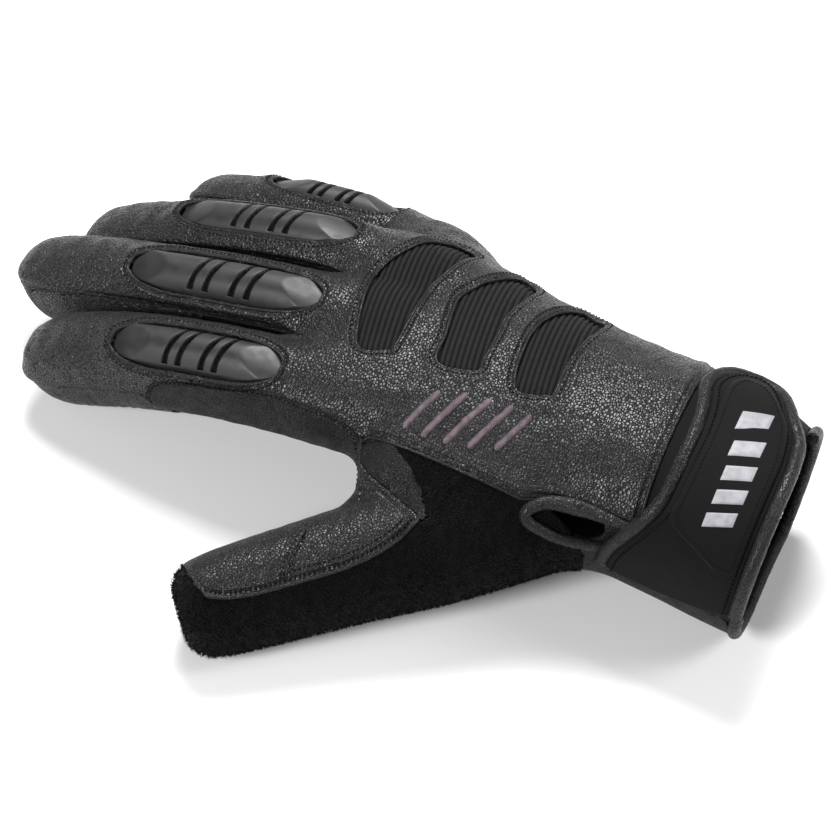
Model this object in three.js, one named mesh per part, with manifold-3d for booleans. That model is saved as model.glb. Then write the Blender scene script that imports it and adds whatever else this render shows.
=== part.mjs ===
// A right-hand climbing glove lying palm down.
// +X runs from the fingers to the wrist, +Y to the little finger, +Z up.
// Lengths are in millimetres, angles in degrees.
import * as THREE from 'three';
import { mergeVertices } from 'three/addons/utils/BufferGeometryUtils.js';
import Module from 'manifold-3d';

const wasm = await Module();
wasm.setup();

// Driving dimensions of the hand
const HAND_LENGTH = 120;      // knuckle line to the mouth of the cuff
const HAND_WIDTH = 86;        // outside width across the knuckles
const KNUCKLE_HEIGHT = 40;    // middle of the middle knuckle above the surface the glove lies on
const WRIST_DEPTH = 56;       // outside depth of the cuff
const FINGER_LENGTH = 117;    // middle finger, knuckle to tip
const FINGER_WIDTH = 23.8;
const FINGER_DEPTH = 25.6;
const THUMB_LENGTH = 122;
const THUMB_WIDTH = 29.6;
const THUMB_DEPTH = 28.4;

// Walls and clearances
const LEATHER = 1.8;          // wall of the sewn panels
const SEAM_GAP = 0.3;         // clearance between neighbouring panels
const LAYER_GAP = 0.55;       // clearance between layers laid over each other, measured at their corners
const TAB_THICKNESS = 2.6;    // neoprene of the closure tab
const OVERLAY_THICKNESS = 1;  // patch sewn on the tab
const BINDING_DIAMETER = 3.2; // rolled leather edges
const GUARD_WIDTH = 11.6;     // moulded knuckle guard across the finger
const GUARD_HEIGHT = 2.6;     // how far it stands above the leather
const SLIT_WIDTH = 1.1;       // flex slits across a guard
const SLIT_DEPTH = 1.6;
const SLIT_DRAFT = 0.25;      // slope of a slit's side
const GUARD_CROWN = 0.5;      // flat top of a guard, of its width

// How finely the forms are divided. Fewer sections and sides leave a coarser form of the same size.
const OUTER_MESH = { fingerStations: 8, fingerSides: 14, handStations: 11, handSides: 22 };
const INNER_MESH = { fingerStations: 6, fingerSides: 10, handStations: 6, handSides: 16 };
const WEB_MESH = { fingerStations: 4, fingerSides: 10 };
const TIP_CROWDING = 1.5;     // stations crowd towards a fingertip by this power
const CURVE_STEPS = 24;       // steps along the bent centre line of a finger
const SLIVER = 0.05;          // edges of a cut shorter than this are closed up
const ZONE_STATIONS = 5;      // sections of the cutters that follow a finger
const OVERRUN = 0.1;          // how far a cutter runs past what it cuts, as a share
const ROUNDNESS = 2.35;       // exponent of the superellipse sections: 2 is an ellipse, more is boxier
const ROLL_SIDES = 6;         // sides of a rolled edge's section
const ROLL_STEPS = { tab: 36, mouth: 22, vent: 18 };
const TAB_COLUMNS = 4;
const OVERLAY_COLUMNS = 3;
const MOUTH_POINTS = 20;
const VENT_POINTS = 12;

// Fingers. Roots: x of HAND_LENGTH, y of HAND_WIDTH, z of KNUCKLE_HEIGHT. Length of FINGER_LENGTH,
// width of FINGER_WIDTH, depth of FINGER_DEPTH. Splay turns to the little finger, droop is given at root,
// middle and tip, roll turns the back to the thumb. nearSeam and farSeam: height of the back panel's seams,
// of the half depth.
const FINGERS = {
  index: { x: 0.017, y: -0.285, z: 0.925, length: 0.906, width: 1, depth: 1,
    splay: 0.6, droop: [2, 13.5, 30], roll: 10, nearSeam: 0.06, farSeam: 0.42 },
  middle: { x: 0, y: -0.006, z: 1, length: 1, width: 1, depth: 1,
    splay: 1.2, droop: [4, 13, 17], roll: 4, nearSeam: 0.48, farSeam: 0.42 },
  ring: { x: 0.033, y: 0.273, z: 0.938, length: 0.957, width: 0.983, depth: 0.97,
    splay: 0.8, droop: [2, 14.8, 25], roll: -6, nearSeam: 0.52, farSeam: 0.42 },
  little: { x: 0.025, y: 0.47, z: 0.7, length: 0.722, width: 0.924, depth: 0.875,
    splay: 4, droop: [2, 7.5, 16], roll: -18, nearSeam: 0.6, farSeam: 0.1 },
};
// Sections along a finger: at is the share of its length, under deepens the pad side.
// The first section lies inside the hand.
const FINGER_SECTIONS = [
  { at: -0.14, width: 0.5, depth: 0.6, under: 1 },
  { at: 0, width: 0.95, depth: 0.98, under: 1 },
  { at: 0.2, width: 1, depth: 1.02, under: 1.02 },
  { at: 0.45, width: 0.99, depth: 1, under: 1.1 },
  { at: 0.7, width: 0.97, depth: 0.95, under: 1.28 },
  { at: 0.86, width: 0.93, depth: 0.86, under: 1.46 },
  { at: 0.95, width: 0.8, depth: 0.7, under: 1.6 },
  { at: 1, width: 0.55, depth: 0.46, under: 1.5 },
];

// The thumb, and the web of leather between thumb and index finger.
// Length of THUMB_LENGTH, width of THUMB_WIDTH, depth of THUMB_DEPTH.
const THUMB = { x: 0.625, y: -0.192, z: 0.638, length: 1, width: 1, depth: 1,
  splay: -38.5, droop: [5, 6, 7], roll: 50 };
const THUMB_SECTIONS = [
  { at: 0, width: 1, depth: 1.15, under: 1 },
  { at: 0.22, width: 1.12, depth: 1.26, under: 1 },
  { at: 0.42, width: 1.14, depth: 1.22, under: 1 },
  { at: 0.62, width: 1.05, depth: 1.07, under: 1 },
  { at: 0.84, width: 0.98, depth: 0.95, under: 1.04 },
  { at: 0.95, width: 0.9, depth: 0.86, under: 1.04 },
  { at: 1, width: 0.74, depth: 0.68, under: 1 },
];
const WEB = { x: 0.46, y: -0.36, z: 0.76, length: 0.34, width: 0.74, depth: 0.8,
  splay: -20, droop: [0, 0, 0], roll: 0 };
const WEB_SECTIONS = [
  { at: 0, width: 1, depth: 1, under: 1 },
  { at: 0.5, width: 1, depth: 1, under: 1 },
  { at: 0.85, width: 0.8, depth: 0.86, under: 1 },
  { at: 1, width: 0.5, depth: 0.6, under: 1 },
];

// Hand and wrist. x of HAND_LENGTH, y of HAND_WIDTH, clear (height of the underside) of KNUCKLE_HEIGHT,
// width of HAND_WIDTH, depth of WRIST_DEPTH. A negative roll lowers the little-finger side.
const HAND_SECTIONS = [
  { x: -0.167, y: 0.105, clear: 0.612, width: 0.86, depth: 0.32, roll: -9 },
  { x: -0.1, y: 0.093, clear: 0.512, width: 0.977, depth: 0.48, roll: -9 },
  { x: 0.042, y: 0.058, clear: 0.45, width: 0.977, depth: 0.59, roll: -9 },
  { x: 0.233, y: -0.006, clear: 0.375, width: 0.895, depth: 0.68, roll: -8 },
  { x: 0.458, y: -0.047, clear: 0.212, width: 0.814, depth: 0.8, roll: -5 },
  { x: 0.667, y: -0.064, clear: 0.05, width: 0.767, depth: 0.93, roll: -2 },
  { x: 0.817, y: -0.087, clear: -0.015, width: 0.744, depth: 1, roll: 0 },
  { x: 0.917, y: -0.108, clear: -0.02, width: 0.75, depth: 0.98, roll: -4 },
  { x: 1, y: -0.134, clear: -0.02, width: 0.733, depth: 0.93, roll: -9 },
];
const MOUTH_SLANT = 0.11;     // how far the cuff's back reaches past its underside, for each unit of height
const SLANT_START = 0.667;    // share of HAND_LENGTH where that slant begins

const HEM = 0.754;            // share of HAND_LENGTH where the leather back ends over the wrist band
const BAND_FOOT = 0.4;        // height of the wrist band's lower edge, of WRIST_DEPTH
// Seams of the back panel on the hand: x of HAND_LENGTH, near (thumb side) and far of the half depth.
const BACK_SEAMS = [
  { x: -0.16, near: -0.08, far: -0.1 },
  { x: 0.04, near: -0.06, far: -0.12 },
  { x: 0.233, near: 0, far: -0.15 },
  { x: 0.4, near: 0.16, far: -0.15 },
  { x: 0.46, near: 0.36, far: -0.15 },
  { x: 0.52, near: 0.61, far: -0.15 },
  { x: HEM, near: 0.63, far: -0.15 },
];

// Side walls between the fingers, as shares of the finger's length and half depth.
const FOURCHETTE = { start: -0.12, end: 0.93, foot: -0.4 };
// Patch on the thumb side of the index finger, likewise.
const INDEX_GUARD = { start: -0.13, end: 0.565, foot: -0.45, top: 0.8 };

// Leather on the back of the thumb: how far its edge lies from the thumb's middle plane, of THUMB_WIDTH.
const THUMB_EDGE = [
  { at: 0.3, edge: 0.5 },
  { at: 0.42, edge: 0.38 },
  { at: 0.5, edge: 0.22 },
  { at: 0.6, edge: 0.11 },
  { at: 0.8, edge: 0.1 },
  { at: 0.88, edge: 0.11 },
  { at: 0.94, edge: 0.22 },
  { at: 0.975, edge: 0.45 },
];
const THUMB_SEAM = 0.73;      // where the tip panel meets the saddle panel
const SADDLE_START = 0.2;     // where the saddle panel starts
const THUMB_ROOT = 0.1;       // where the terry panel starts
const THUMB_SPREAD = 1;       // how far the cutter of the thumb's panels stands off the thumb

// Windows for the moulded guards: start and end of the finger's length, side of FINGER_WIDTH.
const GUARDS = {
  index: { start: 0.185, end: 0.66, side: -0.08 },
  middle: { start: 0.14, end: 0.645, side: -0.08 },
  ring: { start: 0.2, end: 0.685, side: 0.02 },
  little: { start: 0.22, end: 0.7, side: 0.04 },
};
// The guard's outline and top along its own length: width of GUARD_WIDTH, height of GUARD_HEIGHT.
const GUARD_PROFILE = [
  { at: 0, width: 0.3, height: 0.12 },
  { at: 0.05, width: 0.6, height: 0.3 },
  { at: 0.14, width: 0.88, height: 0.66 },
  { at: 0.3, width: 1, height: 1 },
  { at: 0.62, width: 1, height: 1 },
  { at: 0.8, width: 0.96, height: 0.9 },
  { at: 0.92, width: 0.74, height: 0.44 },
  { at: 1, width: 0.34, height: 0.12 },
];
const GUARD_SLITS = [0.33, 0.4, 0.55, 0.62];

// Outlines of the elastic rib panels seen from above: x of HAND_LENGTH, y of HAND_WIDTH.
const RIB_PANELS = {
  rib_panel_1: [[-0.01, -0.175], [-0.06, 0.09], [-0.06, 0.18], [-0.03, 0.27], [0, 0.35], [0.04, 0.41],
    [0.08, 0.425], [0.115, 0.4], [0.11, 0.36], [0.078, 0.205], [0.07, 0.13], [0.075, -0.14], [0.065, -0.172]],
  rib_panel_2: [[0.187, -0.166], [0.171, -0.04], [0.15, 0.11], [0.152, 0.173], [0.182, 0.266], [0.215, 0.35],
    [0.24, 0.384], [0.262, 0.366], [0.292, 0.325], [0.285, 0.234], [0.272, 0.122], [0.277, 0.04],
    [0.28, -0.1], [0.277, -0.156]],
  rib_panel_3: [[0.377, -0.164], [0.348, 0.07], [0.366, 0.212], [0.41, 0.3], [0.45, 0.275], [0.482, 0.257],
    [0.463, 0.084], [0.46, -0.02], [0.464, -0.14], [0.455, -0.155]],
};

const VENT_SLOPE = 0.6;       // least slope of the wall that the vent's rolled edge allows for
const RIB_FOOT = 0.85;        // height where the cutters of the rib panels start, of KNUCKLE_HEIGHT

// The vent at the thumb side of the wrist is a slot with two round ends.
// x of HAND_LENGTH, height and radius of WRIST_DEPTH.
const VENT_ENDS = [
  { x: 0.53, height: 0.68, radius: 0.046 },
  { x: 0.642, height: 0.65, radius: 0.072 },
];

// Closure tab round the wrist: angle from the little-finger side over the back, edges of HAND_LENGTH.
const TAB_ROWS = [
  { angle: 183, left: 0.742, right: 1 },
  { angle: 172, left: 0.746, right: 1 },
  { angle: 160, left: 0.755, right: 1 },
  { angle: 148, left: 0.775, right: 1 },
  { angle: 134, left: 0.79, right: 1 },
  { angle: 120, left: 0.795, right: 1 },
  { angle: 106, left: 0.8, right: 1 },
  { angle: 94, left: 0.8, right: 0.997 },
  { angle: 83, left: 0.79, right: 0.985 },
  { angle: 73, left: 0.778, right: 0.955 },
  { angle: 64, left: 0.785, right: 0.935 },
  { angle: 56, left: 0.802, right: 0.915 },
  { angle: 50, left: 0.825, right: 0.895 },
  { angle: 47, left: 0.848, right: 0.872 },
];
const OVERLAY_ROWS = [
  { angle: 160, left: 0.93, right: 0.982 },
  { angle: 151, left: 0.87, right: 0.982 },
  { angle: 142, left: 0.812, right: 0.982 },
  { angle: 128, left: 0.814, right: 0.982 },
  { angle: 112, left: 0.818, right: 0.982 },
  { angle: 96, left: 0.82, right: 0.98 },
  { angle: 83, left: 0.814, right: 0.962 },
  { angle: 73, left: 0.812, right: 0.93 },
  { angle: 66, left: 0.82, right: 0.905 },
  { angle: 61, left: 0.838, right: 0.88 },
];
// Edge of the mouth that the tab leaves free, as angles.
const MOUTH_START = 188;
const MOUTH_END = 424;

// Materials
const leather = new THREE.MeshStandardMaterial({ color: 0x1b1b1d, roughness: 0.55 });
const softLeather = new THREE.MeshStandardMaterial({ color: 0x18181a, roughness: 0.6 });
const sideCloth = new THREE.MeshStandardMaterial({ color: 0x121214, roughness: 0.85 });
const terry = new THREE.MeshStandardMaterial({ color: 0x141212, roughness: 0.98 });
const ribbed = new THREE.MeshStandardMaterial({ color: 0x0f0f11, roughness: 0.9 });
const rubber = new THREE.MeshStandardMaterial({ color: 0x37393c, roughness: 0.38 });
const neoprene = new THREE.MeshStandardMaterial({ color: 0x131218, roughness: 0.8 });
const rolledEdge = new THREE.MeshStandardMaterial({ color: 0x17171a, roughness: 0.45 });

const radians = THREE.MathUtils.degToRad;

// A smooth curve through one column of a table, at a position in its key column.
function columnAt(rows, key, column, position) {
  let i = 0;
  while (i < rows.length - 2 && position > rows[i + 1][key]) i += 1;
  const slope = (k) => {
    const a = rows[Math.max(k - 1, 0)];
    const b = rows[Math.min(k + 1, rows.length - 1)];
    return (b[column] - a[column]) / (b[key] - a[key]);
  };
  const [from, to] = [rows[i], rows[i + 1]];
  const span = to[key] - from[key];
  const t = THREE.MathUtils.clamp((position - from[key]) / span, 0, 1);
  const [t2, t3] = [t * t, t * t * t];
  return (2 * t3 - 3 * t2 + 1) * from[column] + (t3 - 2 * t2 + t) * span * slope(i)
    + (3 * t2 - 2 * t3) * to[column] + (t3 - t2) * span * slope(i + 1);
}

// A point on a superellipse, as shares of its half width and half depth.
function superellipse(angle) {
  const [c, s] = [Math.cos(angle), Math.sin(angle)];
  const power = 2 / ROUNDNESS;
  return [Math.sign(c) * Math.abs(c) ** power, Math.sign(s) * Math.abs(s) ** power];
}

// A closed surface through rings of equally many points, capped at both ends.
function loft(rings) {
  const sides = rings[0].length;
  const centre = (ring) => ring.reduce((sum, p) => sum.add(p), new THREE.Vector3()).divideScalar(sides);
  const points = [...rings.flat(), centre(rings[0]), centre(rings.at(-1))];
  const [first, last] = [points.length - 2, points.length - 1];
  const faces = [];
  for (let i = 0; i < rings.length - 1; i += 1) {
    for (let j = 0; j < sides; j += 1) {
      const [a, b] = [i * sides + j, i * sides + (j + 1) % sides];
      faces.push(a, b, b + sides, a, b + sides, a + sides);
    }
  }
  const end = (rings.length - 1) * sides;
  for (let j = 0; j < sides; j += 1) {
    const next = (j + 1) % sides;
    faces.push(first, next, j, last, end + j, end + next);
  }
  const geometry = new THREE.BufferGeometry().setFromPoints(points);
  geometry.setIndex(faces);
  return geometry;
}

// A closed three.js geometry as a solid for cutting and joining, turned outwards if need be.
function solidOf(geometry) {
  const bare = geometry.clone();
  bare.deleteAttribute('normal');
  bare.deleteAttribute('uv');
  const merged = mergeVertices(bare, 1e-4);
  const vertProperties = new Float32Array(merged.attributes.position.array);
  const triVerts = new Uint32Array(merged.index.array);
  const mesh = new wasm.Mesh({ numProp: 3, vertProperties, triVerts });
  const solid = new wasm.Manifold(mesh);
  if (solid.volume() > 0) return solid;
  for (let i = 0; i < triVerts.length; i += 3) {
    [triVerts[i], triVerts[i + 1]] = [triVerts[i + 1], triVerts[i]];
  }
  return new wasm.Manifold(new wasm.Mesh({ numProp: 3, vertProperties, triVerts }));
}

const join = (solids) => solids.reduce((a, b) => a.add(b));

// The largest body of a cut, without the crumbs beside it and the slivers along its edges.
function mainBody(solid) {
  const bodies = solid.simplify(SLIVER).decompose();
  return bodies.reduce((a, b) => (a.volume() > b.volume() ? a : b));
}

// The centre line of a digit at a share of its length, with its directions across and up.
function digitFrame(digit, length, at) {
  const splay = radians(digit.splay);
  const heading = new THREE.Vector3(-Math.cos(splay), Math.sin(splay), 0);
  const rows = digit.droop.map((angle, i) => ({ at: i / 2, angle }));
  const droopAt = (share) => radians(columnAt(rows, 'at', 'angle', share));
  const directionAt = (share) => heading.clone().multiplyScalar(Math.cos(droopAt(share)))
    .add(new THREE.Vector3(0, 0, -Math.sin(droopAt(share))));
  const point = new THREE.Vector3(digit.x * HAND_LENGTH, digit.y * HAND_WIDTH, digit.z * KNUCKLE_HEIGHT);
  for (let i = 0; i < CURVE_STEPS; i += 1) {
    point.addScaledVector(directionAt(at * (i + 0.5) / CURVE_STEPS), at * length / CURVE_STEPS);
  }
  const along = directionAt(at);
  const level = new THREE.Vector3(Math.sin(splay), Math.cos(splay), 0);
  const upright = new THREE.Vector3().crossVectors(level, along);
  const roll = radians(digit.roll);
  const side = level.clone().multiplyScalar(Math.cos(roll)).addScaledVector(upright, Math.sin(roll));
  const up = upright.clone().multiplyScalar(Math.cos(roll)).addScaledVector(level, -Math.sin(roll));
  return { point, along, side, up };
}

// A digit's sizes and tables gathered, so that fingers, thumb and web are made alike.
function digitForm(digit, sections, fullLength, fullWidth, fullDepth) {
  const length = digit.length * fullLength;
  const halfWidth = digit.width * fullWidth / 2;
  const halfDepth = digit.depth * fullDepth / 2;
  const frame = (at) => digitFrame(digit, length, at);
  const share = (column, at) => columnAt(sections, 'at', column, at);
  return { length, halfWidth, halfDepth, frame, share, root: sections[0].at };
}

// Rings of a digit's loft from one share of its length to another, drawn in by inset (or out, if negative).
function digitRings(form, inset, density, from = form.root, to = 1) {
  const floor = Math.max(inset, 0);
  const first = from + floor / form.length;
  const rings = [];
  for (let i = 0; i < density.fingerStations; i += 1) {
    const at = first + (to - first) * (1 - (1 - i / (density.fingerStations - 1)) ** TIP_CROWDING);
    const { point, side, up, along } = form.frame(at);
    const clear = inset * at / form.length;
    const centre = point.clone().addScaledVector(along, -clear * form.length);
    const width = form.halfWidth * form.share('width', at) - inset;
    const depth = form.halfDepth * form.share('depth', at);
    const ring = [];
    for (let j = 0; j < density.fingerSides; j += 1) {
      const [a, b] = superellipse(2 * Math.PI * j / density.fingerSides);
      const reach = (b < 0 ? depth * form.share('under', at) : depth) - inset;
      const p = centre.clone().addScaledVector(side, a * width).addScaledVector(up, b * reach);
      p.z = Math.max(p.z, floor);
      ring.push(p);
    }
    rings.push(ring);
  }
  return rings;
}

// One cross-section of hand and wrist at a share of its length.
function handSection(x) {
  const value = (column) => columnAt(HAND_SECTIONS, 'x', column, x);
  const halfWidth = value('width') * HAND_WIDTH / 2;
  const halfDepth = value('depth') * WRIST_DEPTH / 2;
  const height = value('clear') * KNUCKLE_HEIGHT + halfDepth;
  const centre = new THREE.Vector3(x * HAND_LENGTH, value('y') * HAND_WIDTH, height);
  const roll = radians(value('roll'));
  const side = new THREE.Vector3(0, Math.cos(roll), Math.sin(roll));
  const up = new THREE.Vector3(0, -Math.sin(roll), Math.cos(roll));
  return { centre, halfWidth, halfDepth, side, up };
}

// A point of the hand's surface, offset outwards; the back of the cuff slants forward over its underside.
function handPoint(x, angle, offset) {
  const { centre, halfWidth, halfDepth, side, up } = handSection(x);
  const [a, b] = superellipse(angle);
  const p = centre.clone();
  p.addScaledVector(side, a * (halfWidth + offset)).addScaledVector(up, b * (halfDepth + offset));
  const growth = THREE.MathUtils.clamp((x - SLANT_START) / (HAND_SECTIONS.at(-2).x - SLANT_START), 0, 1);
  p.x += MOUTH_SLANT * growth * (p.z - centre.z);
  p.z = Math.max(p.z, -Math.min(offset, 0));
  return p;
}

function handRings(inset, density, to) {
  const from = HAND_SECTIONS[0].x + inset / HAND_LENGTH;
  const rings = [];
  for (let i = 0; i < density.handStations; i += 1) {
    const x = from + (1 - from) * i / (density.handStations - 1);
    const angles = Array.from({ length: density.handSides }, (_, j) => 2 * Math.PI * j / density.handSides);
    rings.push(angles.map((angle) => handPoint(x, angle, -inset)));
  }
  if (to > 1) {
    const shift = new THREE.Vector3((to - 1) * HAND_LENGTH, 0, 0);
    rings.push(rings.at(-1).map((p) => p.clone().add(shift)));
  }
  return rings;
}

// A cutter that follows a digit: a four-sided section at each station, its corners given across and up.
function digitZone(form, from, to, corners, stations = ZONE_STATIONS) {
  const rings = [];
  for (let i = 0; i < stations; i += 1) {
    const at = from + (to - from) * i / (stations - 1);
    const { point, side, up } = form.frame(at);
    rings.push(corners(at).map(([a, b]) => point.clone().addScaledVector(side, a).addScaledVector(up, b)));
  }
  return solidOf(loft(rings));
}

const rectangle = (left, right, low, high) => [[left, low], [right, low], [right, high], [left, high]];

function boxSolid(x0, x1, y0, y1, z0, z1) {
  const box = new THREE.BoxGeometry(x1 - x0, y1 - y0, z1 - z0);
  box.translate((x0 + x1) / 2, (y0 + y1) / 2, (z0 + z1) / 2);
  return solidOf(box);
}

// The whole form, outside and inside
const fingerForms = Object.fromEntries(Object.entries(FINGERS).map(([name, row]) => (
  [name, digitForm(row, FINGER_SECTIONS, FINGER_LENGTH, FINGER_WIDTH, FINGER_DEPTH)])));
const thumbForm = digitForm(THUMB, THUMB_SECTIONS, THUMB_LENGTH, THUMB_WIDTH, THUMB_DEPTH);
const webForm = digitForm(WEB, WEB_SECTIONS, THUMB_LENGTH, THUMB_WIDTH, THUMB_DEPTH);
const allForms = [...Object.values(fingerForms), thumbForm, webForm];

function handForm(inset, density, mouth) {
  const digits = allForms.map((form) => (
    solidOf(loft(digitRings(form, inset, form === webForm ? WEB_MESH : density)))));
  return join([solidOf(loft(handRings(inset, density, mouth))), ...digits]);
}

const outside = handForm(0, OUTER_MESH, 1);
const inside = handForm(LEATHER, INNER_MESH, 1 + OVERRUN);

// Outline of the vent seen from the thumb side, as x and height, larger by grow.
function ventOutline(grow) {
  const shape = new THREE.Shape();
  VENT_ENDS.forEach(({ x, height, radius }, i) => {
    const start = Math.PI * (0.5 - i);
    const r = radius * WRIST_DEPTH + grow;
    shape.absarc(x * HAND_LENGTH, height * WRIST_DEPTH, r, start, start + Math.PI, false);
  });
  return shape;
}

// The vent is cut through the thumb side of the wrist only.
const through = { depth: HAND_WIDTH, bevelEnabled: false, curveSegments: 5 };
const ventSlot = new THREE.ExtrudeGeometry(ventOutline(0), through);
ventSlot.rotateX(Math.PI / 2);
ventSlot.translate(0, -HAND_WIDTH / 4, 0);
const shell = outside.subtract(inside).subtract(solidOf(ventSlot));

// Back panel: what lies above the seams, as far as the hem
const TALL = 2 * KNUCKLE_HEIGHT;
function backZone(grow) {
  const zones = Object.entries(fingerForms).map(([name, form]) => {
    const [near, far] = [FINGERS[name].nearSeam, FINGERS[name].farSeam];
    const corners = (at) => {
      const depth = form.halfDepth * form.share('depth', THREE.MathUtils.clamp(at, 0, 1));
      const reach = form.halfWidth + SEAM_GAP / 2 + grow / 2;
      const [low, high] = [near * depth - grow, far * depth - grow];
      return [[-reach, low], [reach, high], [reach, 2 * form.halfDepth], [-reach, 2 * form.halfDepth]];
    };
    return digitZone(form, -OVERRUN, 1 + OVERRUN, corners);
  });
  const rings = BACK_SEAMS.map((row) => {
    const { centre, halfWidth, halfDepth, side, up } = handSection(row.x);
    const reach = 2 * halfWidth;
    const nearReach = halfWidth + SEAM_GAP + grow;
    const corner = (a, b) => centre.clone().addScaledVector(side, a).addScaledVector(up, b);
    return [corner(-nearReach, row.near * halfDepth - grow), corner(reach, row.far * halfDepth - grow),
      corner(reach, TALL), corner(-nearReach, TALL)];
  });
  rings.at(-1).forEach((p) => { p.x = HEM * HAND_LENGTH + grow; });
  return join([solidOf(loft(rings)), ...zones]);
}

// Patch along the index finger
function indexGuardZone(grow) {
  const form = fingerForms.index;
  const { start, end, foot, top } = INDEX_GUARD;
  const more = grow / form.length;
  return digitZone(form, start - more, end + more, () => (
    rectangle(-2 * form.halfWidth, 0, foot * form.halfDepth - grow, top * form.halfDepth + grow)));
}

// Side walls between two neighbouring fingers
function fourchetteZone(nearName, farName, grow) {
  const [near, far] = [fingerForms[nearName], fingerForms[farName]];
  const { start, end, foot } = FOURCHETTE;
  const wall = (form, seam, sign) => {
    const more = grow / form.length;
    const reach = form.halfWidth + 2 * SEAM_GAP + grow;
    const [left, right] = sign > 0 ? [0, reach] : [-reach, 0];
    return digitZone(form, start - more, end + more, (at) => {
      const depth = form.halfDepth * form.share('depth', THREE.MathUtils.clamp(at, 0, 1));
      return rectangle(left, right, foot * depth - grow, seam * depth + LEATHER);
    });
  };
  return wall(near, FINGERS[nearName].farSeam, 1).add(wall(far, FINGERS[farName].nearSeam, -1));
}

// Everything that belongs to the thumb and the web
function thumbZone(grow) {
  const spread = THUMB_SPREAD + grow;
  const from = THUMB_ROOT - grow / thumbForm.length;
  return solidOf(loft(digitRings(thumbForm, -spread, INNER_MESH, from, 1 + OVERRUN)))
    .add(solidOf(loft(digitRings(webForm, -spread, WEB_MESH, webForm.root, 1 + OVERRUN))));
}

// Leather on the back of the thumb, between two shares of its length
function thumbLeatherZone(from, to, grow) {
  const reach = 3 * thumbForm.halfWidth;
  const more = grow / thumbForm.length;
  const corners = (at) => {
    const edge = columnAt(THUMB_EDGE, 'at', 'edge', at) * THUMB_WIDTH;
    return rectangle(edge - grow, reach, -reach, reach);
  };
  return digitZone(thumbForm, from - more, to + more, corners, THUMB_EDGE.length);
}
const tipZone = (grow) => thumbLeatherZone(THUMB_SEAM, 1 + OVERRUN, grow);
const saddleZone = (grow) => thumbLeatherZone(SADDLE_START, THUMB_SEAM - SEAM_GAP / THUMB_LENGTH, grow);

// A solid turned back into a three.js geometry
function geometryOf(solid) {
  const { vertProperties, triVerts } = solid.getMesh();
  const geometry = new THREE.BufferGeometry();
  geometry.setAttribute('position', new THREE.BufferAttribute(new Float32Array(vertProperties), 3));
  geometry.setIndex(new THREE.BufferAttribute(new Uint32Array(triVerts), 1));
  return geometry;
}

const nodes = [];
function addNode(name, solid, material) {
  const mesh = new THREE.Mesh(geometryOf(solid), material);
  mesh.name = name;
  nodes.push(mesh);
}

// Cutting the shell into its panels
const back = shell.intersect(backZone(0)).subtract(indexGuardZone(SEAM_GAP));
let rest = shell.subtract(backZone(SEAM_GAP));
const indexGuard = shell.intersect(indexGuardZone(0)).subtract(thumbZone(0));
rest = rest.subtract(indexGuardZone(SEAM_GAP));

const band = rest.intersect(boxSolid(HEM * HAND_LENGTH, 2 * HAND_LENGTH, -HAND_WIDTH, HAND_WIDTH,
  BAND_FOOT * WRIST_DEPTH, TALL));
rest = rest.subtract(boxSolid(HEM * HAND_LENGTH - SEAM_GAP, 2 * HAND_LENGTH, -HAND_WIDTH, HAND_WIDTH,
  BAND_FOOT * WRIST_DEPTH - SEAM_GAP, TALL));

const thumb = rest.intersect(thumbZone(0));
rest = rest.subtract(thumbZone(SEAM_GAP));
const tipLeather = thumb.intersect(tipZone(0));
const saddleLeather = thumb.intersect(saddleZone(0));
const thumbTerry = thumb.subtract(tipZone(SEAM_GAP)).subtract(saddleZone(SEAM_GAP));

const fourchettes = {};
for (const [near, far] of [['index', 'middle'], ['middle', 'ring'], ['ring', 'little']]) {
  fourchettes[`fourchette_${near}_${far}`] = rest.intersect(fourchetteZone(near, far, 0));
  rest = rest.subtract(fourchetteZone(near, far, SEAM_GAP));
}

// Moulded guards follow the finger's back; the window in the leather is the same outline, larger by the gap.
function guardWidthAt(at) {
  return columnAt(GUARD_PROFILE, 'at', 'width', at) * GUARD_WIDTH / 2;
}

// Stations along a guard of the given length, with those of the slits between them.
function guardStations(length) {
  const plain = GUARD_PROFILE.map((row) => ({ at: row.at, sunk: 0 }));
  const slits = GUARD_SLITS.flatMap((at) => {
    const half = SLIT_WIDTH / 2 / length;
    const rim = half + SLIT_DRAFT / length;
    return [[-rim, 0], [-half, 1], [half, 1], [rim, 0]].map(([step, sunk]) => ({ at: at + step, sunk }));
  });
  return [...plain, ...slits].sort((a, b) => a.at - b.at);
}

function guardSolid(name) {
  const form = fingerForms[name];
  const { start, end, side: shift } = GUARDS[name];
  const rings = guardStations((end - start) * form.length).map(({ at, sunk }) => {
    const share = start + (end - start) * at;
    const { point, side, up } = form.frame(share);
    const skin = form.halfDepth * form.share('depth', share);
    const width = guardWidthAt(at);
    const top = skin + columnAt(GUARD_PROFILE, 'at', 'height', at) * GUARD_HEIGHT - sunk * SLIT_DEPTH;
    const shoulder = skin - LEATHER / 3;
    const section = [[-width, skin - LEATHER], [width, skin - LEATHER], [width, shoulder],
      [GUARD_CROWN * width, top], [-GUARD_CROWN * width, top], [-width, shoulder]];
    return section.map(([a, b]) => (
      point.clone().addScaledVector(side, a + shift * FINGER_WIDTH).addScaledVector(up, b)));
  });
  return solidOf(loft(rings));
}

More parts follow.
